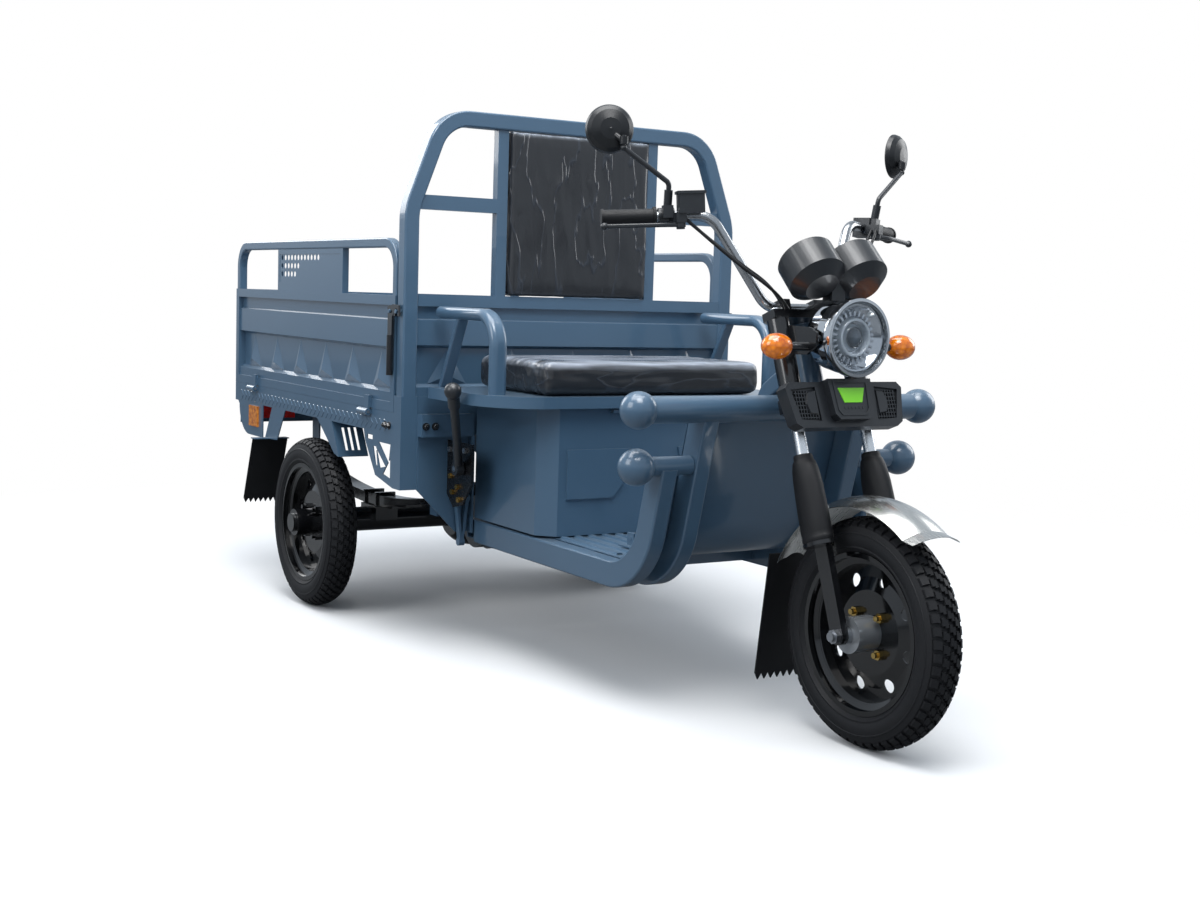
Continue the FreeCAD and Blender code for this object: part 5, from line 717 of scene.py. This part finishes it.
# Fork: chromed stanchions slide in black legs below soft ribless gaiters, which are moulded rubber
# sleeves gathered at the neck and banded at the foot.
chrome = metal("bright_chrome", "#dcdee1", "#cfd2d6", 0.07, 0.02, depth=0.0)
dress(metal("hard_chrome_tube", "#f1f3f5", "#e6e9ec", 0.26, 0.02, depth=0.0), "fork_stanchions")
fork_rake = math.radians(20.2)
fork_up = Vector((-math.sin(fork_rake), 0, math.cos(fork_rake)))
fork_ahead = Vector((math.cos(fork_rake), 0, math.sin(fork_rake)))
fork_foot = Vector((front_x, 0, axle_z))
fork_leg_y = 0.092


def fork_place(ahead, side, up):
    """A point given ahead of, beside and along the raked fork."""
    return fork_foot + fork_ahead * ahead + Vector((0, side, 0)) + fork_up * up


gaiter_levels = [(0.1955, 0.0380, 0.0255), (0.2000, 0.0400, 0.0265), (0.2060, 0.0400, 0.0265),
                 (0.2075, 0.0392, 0.0258), (0.2150, 0.0408, 0.0266), (0.2500, 0.0402, 0.0266),
                 (0.2800, 0.0396, 0.0265), (0.3100, 0.0382, 0.0264), (0.3300, 0.0352, 0.0262),
                 (0.3450, 0.0318, 0.0258), (0.3560, 0.0275, 0.0250), (0.3630, 0.0240, 0.0238),
                 (0.3660, 0.0212, 0.0212), (0.3700, 0.0205, 0.0205), (0.3740, 0.0205, 0.0205),
                 (0.3785, 0.0190, 0.0190)]
gaiter_steps = 48
gaiter_fold = 0.0012
loose_foot, loose_foot_run = 0.208, 0.05
loose_neck, loose_neck_run = 0.366, 0.03
neck_radius = 0.0142
gaiter_inside = [(0.3788, neck_radius, neck_radius), (0.3600, neck_radius, neck_radius),
                 (0.3450, 0.0290, 0.0232), (0.3100, 0.0360, 0.0240), (0.1955, 0.0360, 0.0235)]


def held(value):
    """A value held between nought and one."""
    return max(0.0, min(1.0, value))


def gaiter_ring(side, up, half_ahead, half_side, loose=0.0):
    """Points round a fork leg at a height, drawn in by folds where the sleeve is loose."""
    ring = []
    for step in range(gaiter_steps):
        angle = step * math.tau / gaiter_steps
        crease = noise.noise(Vector((3 * math.cos(angle), 3 * math.sin(angle) + side * 5, up * 30)))
        swell = gaiter_fold * loose * (crease - fold_middle)
        ring.append(fork_place((half_ahead + swell) * math.cos(angle),
                               side * fork_leg_y + (half_side + swell) * math.sin(angle), up))
    return ring


gaiters = []
for side in (-1, 1):
    rings = []
    for up, half_ahead, half_side in gaiter_levels:
        loose = held((up - loose_foot) / loose_foot_run) * held((loose_neck - up) / loose_neck_run)
        rings.append(gaiter_ring(side, up, half_ahead, half_side, loose))
    rings += [gaiter_ring(side, *level) for level in gaiter_inside]
    gaiters.append(skinned(rings + [rings[0]], close=False))
fit("gaiter_sleeves", joined(*gaiters), black_rubber, "fork_lower", "rubber", "fork_gaiters", smooth=0.9)

# Front mudguard: polished stainless sheet rolled to a crown and bolted to the fork legs, with fine draw
# lines along its length.
stainless = metal("polished_stainless_sheet", "#d6d6d3", "#c3c3bf", 0.24, 0.012, stretch=(0.3, 3.0, 0.3))
dress(stainless, "front_mudguard")


# Headlight: a chromed steel bucket with a clear moulded lens. Inside, a faceted bright reflector holds a
# clear ring and a round projector lens.
acrylic_ior = 1.49


def clear_plastic(name, tint, cloud, mid, rim_radius):
    """Clear moulding that lets the inside show, greyer towards its rim."""
    made, tree, out, place = blank_material(name)
    radius = vectors(tree, "LENGTH", vectors(tree, "SUBTRACT", place, mid))
    rim = ranged(tree, radius, 0.06, 0.35, rim_radius * 0.86, rim_radius * 0.9)
    see = add(tree, "ShaderNodeBsdfTransparent", {"Color": linear(tint)})
    gloss = add(tree, "ShaderNodeBsdfPrincipled",
                {"Base Color": linear(cloud), "Roughness": 0.06, "IOR": acrylic_ior})
    both = add(tree, "ShaderNodeMixShader", {0: rim, 1: see.outputs[0], 2: gloss.outputs[0]})
    tree.links.new(both.outputs[0], out.inputs["Surface"])
    return made


lamp_mid = Vector((1.05975, 0, 0.841))
lamp_radius = 0.080
dress(chrome, "headlight_bucket")
dress(clear_plastic("clear_acrylic_lens", "#fbfcfd", "#8d979f", lamp_mid, lamp_radius), "headlight_lens")


def spun(line):
    """A shape turned about the lamp's axis: pairs of radius and height, closed to itself."""
    rings = [ring_points(radius, spun_steps, height) for radius, height in line]
    shape = skinned(rings + [rings[0]], close=False)
    return placed(shape, facing_to(lamp_mid, (1, 0, 0)))


spun_steps = 64
dish_line = [(0.0695, -0.011), (0.066, -0.012), (0.060, -0.020), (0.050, -0.028), (0.040, -0.032),
             (0.030, -0.033), (0.030, -0.036), (0.041, -0.035), (0.051, -0.031), (0.062, -0.023),
             (0.0695, -0.014)]
facet_line = [(-0.0035, 0.041), (0.0035, 0.041), (0.0048, 0.058), (-0.0048, 0.058)]
facet_rise, facet_taper, facet_count, facet_back = 0.010, 0.55, 26, 0.032
swap_yz = Matrix(((1, 0, 0, 0), (0, 0, 1, 0), (0, 1, 0, 0), (0, 0, 0, 1)))
swap_xy = Matrix(((0, 1, 0, 0), (1, 0, 0, 0), (0, 0, 1, 0), (0, 0, 0, 1)))
facet = placed(prism(facet_line, 0, facet_rise, facet_taper), swap_yz)
facet_ring = repeated(facet, ring_tree, Count=facet_count, Start=0.0, Sweep=math.tau, Look=chrome)
facets = placed(facet_ring, Matrix.Translation(lamp_mid - Vector((facet_back, 0, 0))) @ swap_xy)
reflector = joined(spun(dish_line), facets)
fit("headlight_reflector", reflector, chrome, "steering", "chrome")
ring_line = [(0.034, -0.0335), (0.034, -0.016), (0.0355, -0.0145), (0.0385, -0.0145), (0.040, -0.016),
             (0.040, -0.0335)]
clear_ring = plastic("clear_ring_plastic", "#c9d0d6", "#b4bcc4", 0.12, 0.004, 0.05, coat=0.8)
fit("headlight_ring", spun(ring_line), clear_ring, "steering", "clear_lens")
bulb_line = [(0.0, -0.0125), (0.008, -0.0132), (0.016, -0.0155), (0.023, -0.0195), (0.028, -0.0255),
             (0.0295, -0.0335), (0.0, -0.0345)]
projector, tree, out, place = blank_material("projector_glass")
flat = vectors(tree, "MULTIPLY", vectors(tree, "SUBTRACT", place, lamp_mid), (0, 1, 1))
spread = ranged(tree, vectors(tree, "LENGTH", flat), 0.0, 1.0, 0.0, 0.03)
# Painted reflection: the glass is opaque, and rings round the axis stand in for the light it bends and
# reflects, a grey middle, a dark ring and a bright painted highlight at its edge.
painted_light_bands = add(tree, "ShaderNodeValToRGB", {"Fac": spread})
glass_painted_light_bands = ((0.0, "#59636e"), (0.45, "#3c444d"), (0.7, "#262c33"), (0.86, "#aeb7bf"), (1.0, "#d5dbe0"))
for stop, colour in glass_painted_light_bands:
    painted_light_bands.color_ramp.elements.new(stop).color = linear(colour)
finish(tree, out, {"Base Color": painted_light_bands.outputs["Color"], "Roughness": 0.04, "Coat Weight": 1.0,
                   "Coat Roughness": 0.02})
fit("headlight_projector", spun(bulb_line), projector, "steering", "clear_lens")
band_line = [(0.0768, -0.0232), (0.0812, -0.0226), (0.0822, -0.020), (0.0822, -0.006), (0.0812, -0.0025),
             (0.0752, -0.0018), (0.0752, -0.0030), (0.0800, -0.0040), (0.0800, -0.0200)]
fit("headlight_rim", spun(band_line), chrome, "steering", "chrome")


# Instrument cluster: two moulded barrels in black plastic. Each holds a dial under a clear cover,
# printed with plain tick marks, and a needle on a pin.
black_plastic = plastic("moulded_black_abs", "#13161a", "#1d2126", 0.42, 0.0012, 0.25, coat=0.35)
dress(black_plastic, "instrument_cluster", "horn_panel", "gear_lever", "front_brake_lever",
      "rear_brake_lever", "hand_controls")
dial_middle = Vector((0.96175, 0, 0.980))
dial_facing = Vector((-1, 0, 1)).normalized()
dial_half_depth = 0.031
dial_side = 0.058
printed_white = plastic("printed_white_ink", "#d9dcde", "#c8ccd0", 0.5, 0.002, 0.05)
red_plastic = plastic("red_plastic", "#b3221c", "#9c1d18", 0.35, 0.002, 0.05, coat=0.3)
dial_steps = 48
dial_line = [(0.060, 0), (0.060, 0.003), (0.0555, 0.0034), (0.054, 0.0012), (0.004, 0.0012), (0.003, 0.0055)]
tick_half, tick_tip = 0.0005, 0.050
tick_foot, tick_top = 0.0012, 0.0016
tick_start, tick_sweep = math.radians(-135), math.radians(270)
tick_kinds = ((0.005, 41), (0.009, 9))
needle_line = [(-0.0016, -0.010), (0.0016, -0.010), (0.0006, 0.042), (-0.0006, 0.042)]
needle_foot, needle_top = 0.0030, 0.0040
needle_turn = Matrix.Rotation(math.radians(135), 4, "Z")
to_ring, from_ring = Matrix.Rotation(-math.pi / 2, 4, "X"), Matrix.Rotation(math.pi / 2, 4, "X")
ticks, faces, needles = [], [], []
for side in (-1, 1):
    middle = dial_middle + Vector((0, side * dial_side, 0)) + dial_facing * dial_half_depth
    seat = facing_to(middle, dial_facing)
    faces.append(placed(skinned([ring_points(radius, dial_steps, height) for radius,
                                 height in dial_line]), seat))
    for long, count in tick_kinds:
        tick_line = [(-tick_half, tick_tip - long), (tick_half, tick_tip - long),
                     (tick_half, tick_tip), (-tick_half, tick_tip)]
        tick = placed(prism(tick_line, tick_foot, tick_top), to_ring)
        fan = repeated(tick, ring_tree, Count=count, Start=tick_start, Sweep=tick_sweep * count / (count - 1),
                       Look=printed_white)
        ticks.append(placed(fan, seat @ from_ring))
    needles.append(placed(prism(needle_line, needle_foot, needle_top), seat @ needle_turn))
fit("dial_faces", joined(*faces), black_plastic, "steering", "black_plastic", smooth=0.5)
fit("dial_ticks", joined(*ticks), printed_white, "steering", "black_plastic", smooth=0)
fit("dial_needles", joined(*needles), red_plastic, "steering", "red_plastic", smooth=0)

# Horn panel: a black moulding on the lower yoke with two speaker recesses, each crossed by a grille,
# and a raised middle box with a green bar above a row of square pips.
panel_plane = Matrix.Translation(fork_foot) @ Matrix(((0, fork_up.x, fork_ahead.x, 0), (1, 0, 0, 0),
                                                      (0, fork_up.z, fork_ahead.z, 0), (0, 0, 0, 1)))
grille = []
bar_thick = 0.0011
bar_back, upright_front, level_front = 0.0565, 0.0605, 0.0600
upright_low, upright_high = 0.440, 0.500
upright_first, upright_pitch, upright_count = 0.081, 0.0072, 8
level_near, level_far = 0.079, 0.136
level_first, level_pitch, level_count = 0.443, 0.0085, 7
cone_line = [(0.080, 0.4450), (0.104, 0.4480), (0.112, 0.4720), (0.104, 0.5000), (0.080, 0.5040)]
cone_back, cone_front, cone_taper = 0.0560, 0.0635, 0.8
for side in (-1, 1):
    upright = prism([(-bar_thick, upright_low), (bar_thick, upright_low), (bar_thick, upright_high),
                     (-bar_thick, upright_high)], bar_back, upright_front)
    step = (side * upright_pitch, 0, 0)
    uprights = placed(repeated(upright, row_tree, Count=upright_count, Step=step, Look=black_plastic),
                      Matrix.Translation((side * upright_first, 0, 0)))
    level = prism([(side * level_near, -bar_thick), (side * level_far, -bar_thick),
                   (side * level_far, bar_thick), (side * level_near, bar_thick)], bar_back, level_front)
    step = (0, level_pitch, 0)
    levels = placed(repeated(level, row_tree, Count=level_count, Step=step, Look=black_plastic),
                    Matrix.Translation((0, level_first, 0)))
    cone = prism([(side * u, v) for u, v in cone_line], cone_back, cone_front, cone_taper)
    grille += [uprights, levels, cone]
frame_outer = [(-0.047, 0.516), (-0.043, 0.452), (-0.034, 0.441), (0.034, 0.441), (0.043, 0.452),
               (0.047, 0.516)]
frame_middle, frame_narrow, frame_short = 0.4785, 0.88, 0.86
frame_inner = [(u * frame_narrow, frame_middle + (v - frame_middle) * frame_short) for u, v in frame_outer]
box_face, box_lip = 0.0795, 0.0815
lip = [[(u, v, height) for u, v in line] for height, line in (
    (box_face, frame_outer), (box_lip, frame_outer), (box_lip, frame_inner), (box_face, frame_inner))]
grille.append(skinned(lip + [lip[0]], close=False))
fit("horn_grilles", placed(joined(*grille), panel_plane), black_plastic, "steering", "black_plastic",
    smooth=0)
green_plastic = plastic("lime_green_plastic", "#7fdc22", "#86e02c", 0.35, 0.003, 0.05, coat=0.3)
green_line, green_taper = [(-0.036, 0.500), (-0.024, 0.468), (0.024, 0.468), (0.036, 0.500)], 0.97
green_bar = prism(green_line, box_face, box_lip, green_taper)
fit("green_bar", placed(green_bar, panel_plane), green_plastic, "steering", "black_plastic", smooth=0)
pip_line = [(-0.0024, -0.003), (0.0024, -0.003), (0.0024, 0.003), (-0.0024, 0.003)]
pip_front, pip_taper, pip_count, pip_pitch = 0.0808, 0.85, 6, 0.0096
first_pip = (-0.024, 0.457, 0)
pip = prism(pip_line, box_face, pip_front, pip_taper)
pips = placed(repeated(pip, row_tree, Count=pip_count, Step=(pip_pitch, 0, 0), Look=black_plastic),
              Matrix.Translation(first_pip))
fit("panel_pips", placed(pips, panel_plane), black_plastic, "steering", "black_plastic", smooth=0)


# Handlebar: bent steel tube with a bright plated finish, clamped to the upper yoke. Delivery film round
# it leaves fine rings. The horn button on it is red plastic.
plated_bar = metal("bright_plated_tube", "#c6c8ca", "#8d9094", 0.2, 0.006, stretch=(1.0, 3.0, 3.0), depth=0.3)
dress(plated_bar, "handlebar")
dress(red_plastic, "horn_button")


# Mirrors: moulded black backs with a flat silvered glass that faces the rider. The glass is set in the
# same node, so the finish changes at its plane.
mirror_yaw = math.radians(25.0)
mirror_x, mirror_y, mirror_z = 0.70375, 0.401, 1.258
glass_plane, glass_edge, glass_depth = -0.0121, 0.0462, 0.014
for name, side in (("right_mirror", -1), ("left_mirror", 1)):
    look, tree, out, place = blank_material("black_abs_and_glass_" + name)
    mid = Vector((mirror_x, side * mirror_y, mirror_z))
    ahead_of_glass = Vector((math.cos(mirror_yaw), side * math.sin(mirror_yaw), 0))
    local = vectors(tree, "SUBTRACT", place, mid)
    behind = sums(tree, "LESS_THAN", vectors(tree, "DOT_PRODUCT", local, ahead_of_glass), glass_plane)
    within = sums(tree, "LESS_THAN", vectors(tree, "LENGTH", local), math.hypot(glass_edge, glass_depth))
    glass = sums(tree, "MULTIPLY", behind, within)
    finish(tree, out, {"Base Color": mixed(tree, glass, "#15171a", "#e4e7ea"), "Metallic": glass,
                       "Roughness": ranged(tree, glass, 0.34, 0.02),
                       "Normal": relief(tree, mottle(tree, place, 0.0015), 0.1, 0.0004)})
    dress(look, name)


# Lamps: amber indicators on stalks, red tail lamps and amber side markers. Each lens is moulded with
# facets on the inside, painted light and dark by turns as painted highlights and painted shade, and each
# lens has a faint painted glow.
def lens(name, colour, shade, rib, far_colour=None, far_shade=None, split=0.0):
    """Lens plastic with moulded facets painted light and dark, and a faint painted glow. A second colour can
    start at a place along x.
    """
    made, tree, out, place = blank_material(name)
    facets = add(tree, "ShaderNodeTexVoronoi", {"Vector": place, "Scale": 1 / rib}).outputs["Distance"]
    # Painted highlights and painted shade: each facet runs from the colour at its middle to the darker shade
    # at its edge.
    tone = mixed(tree, facets, colour, shade)
    if far_colour:
        along = add(tree, "ShaderNodeSeparateXYZ", {0: place}).outputs["X"]
        beyond = sums(tree, "GREATER_THAN", along, split)
        tone = mixed(tree, beyond, tone, mixed(tree, facets, far_colour, far_shade))
    # The emission is a faint painted glow in the facets' colours.
    finish(tree, out, {"Base Color": tone, "Roughness": 0.1, "IOR": acrylic_ior, "Coat Weight": 0.8,
                       "Coat Normal": relief(tree, facets, 0.15, 0.001), "Coat Roughness": 0.03,
                       "Emission Color": tone, "Emission Strength": 0.18})
    return made


dress(lens("amber_lens_plastic", "#f08a14", "#9a3d0c", 0.012), "indicators")
marker_start = -1.25
tail_lens = lens("tail_lens_plastic", "#a81c19", "#6d0f10", 0.012, "#d98a2c", "#8a4310", marker_start)
dress(tail_lens, "rear_lamps")


# Control cables: a brake cable and a switch lead from each end of the handlebar, in black sheath. They
# hang in a shallow curve and go down into the upper yoke.
cable_width = 0.007
cable_routes = [[(0.7799, -0.2621, 1.0810), (0.8367, -0.1750, 1.0000), (0.8788, -0.0750, 0.9320),
                 (0.8873, -0.0640, 0.8839)],
                [(0.7901, -0.2669, 1.0810), (0.8528, -0.1810, 0.9920), (0.8948, -0.0810, 0.9240),
                 (0.9023, -0.0640, 0.8894)]]
cable_sheath = rubber("black_cable_sheath", "#0e0f11", "#17181a", 0.42, 0.0015, 0.05)


def draw_route(data, route):
    """Draws a smooth line in a curve, steered by the route's points."""
    data.dimensions = "3D"
    data.resolution_u = 16
    spline = data.splines.new("NURBS")
    spline.points.add(len(route) - 1)
    for point, place in zip(spline.points, route):
        point.co = (*place, 1.0)
    spline.order_u = 3
    spline.use_endpoint_u = True


def spline_length(route):
    """Length of the smooth line that the route's points steer."""
    data = bpy.data.curves.new("measure", "CURVE")
    draw_route(data, route)
    holder = bpy.data.objects.new("measure", data)
    line = bpy.data.meshes.new_from_object(holder)
    places = [vertex.co for vertex in line.vertices]
    bpy.data.objects.remove(holder)
    return sum((b - a).length for a, b in zip(places, places[1:]))


for side, side_name in ((1, "right"), (-1, "left")):
    for kind, route in zip(("brake", "switch"), cable_routes):
        points = [(x, y * side, z) for x, y, z in route]
        data = bpy.data.curves.new(side_name + "_" + kind + "_cable", "CURVE")
        draw_route(data, points)
        data.bevel_depth = cable_width / 2
        data.bevel_resolution = 4
        data.use_fill_caps = True
        data.materials.append(cable_sheath)
        cable = bpy.data.objects.new(data.name, data)
        scene.collection.objects.link(cable)
        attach(cable, "steering")
        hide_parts("control_cables")
        spline_length(points)
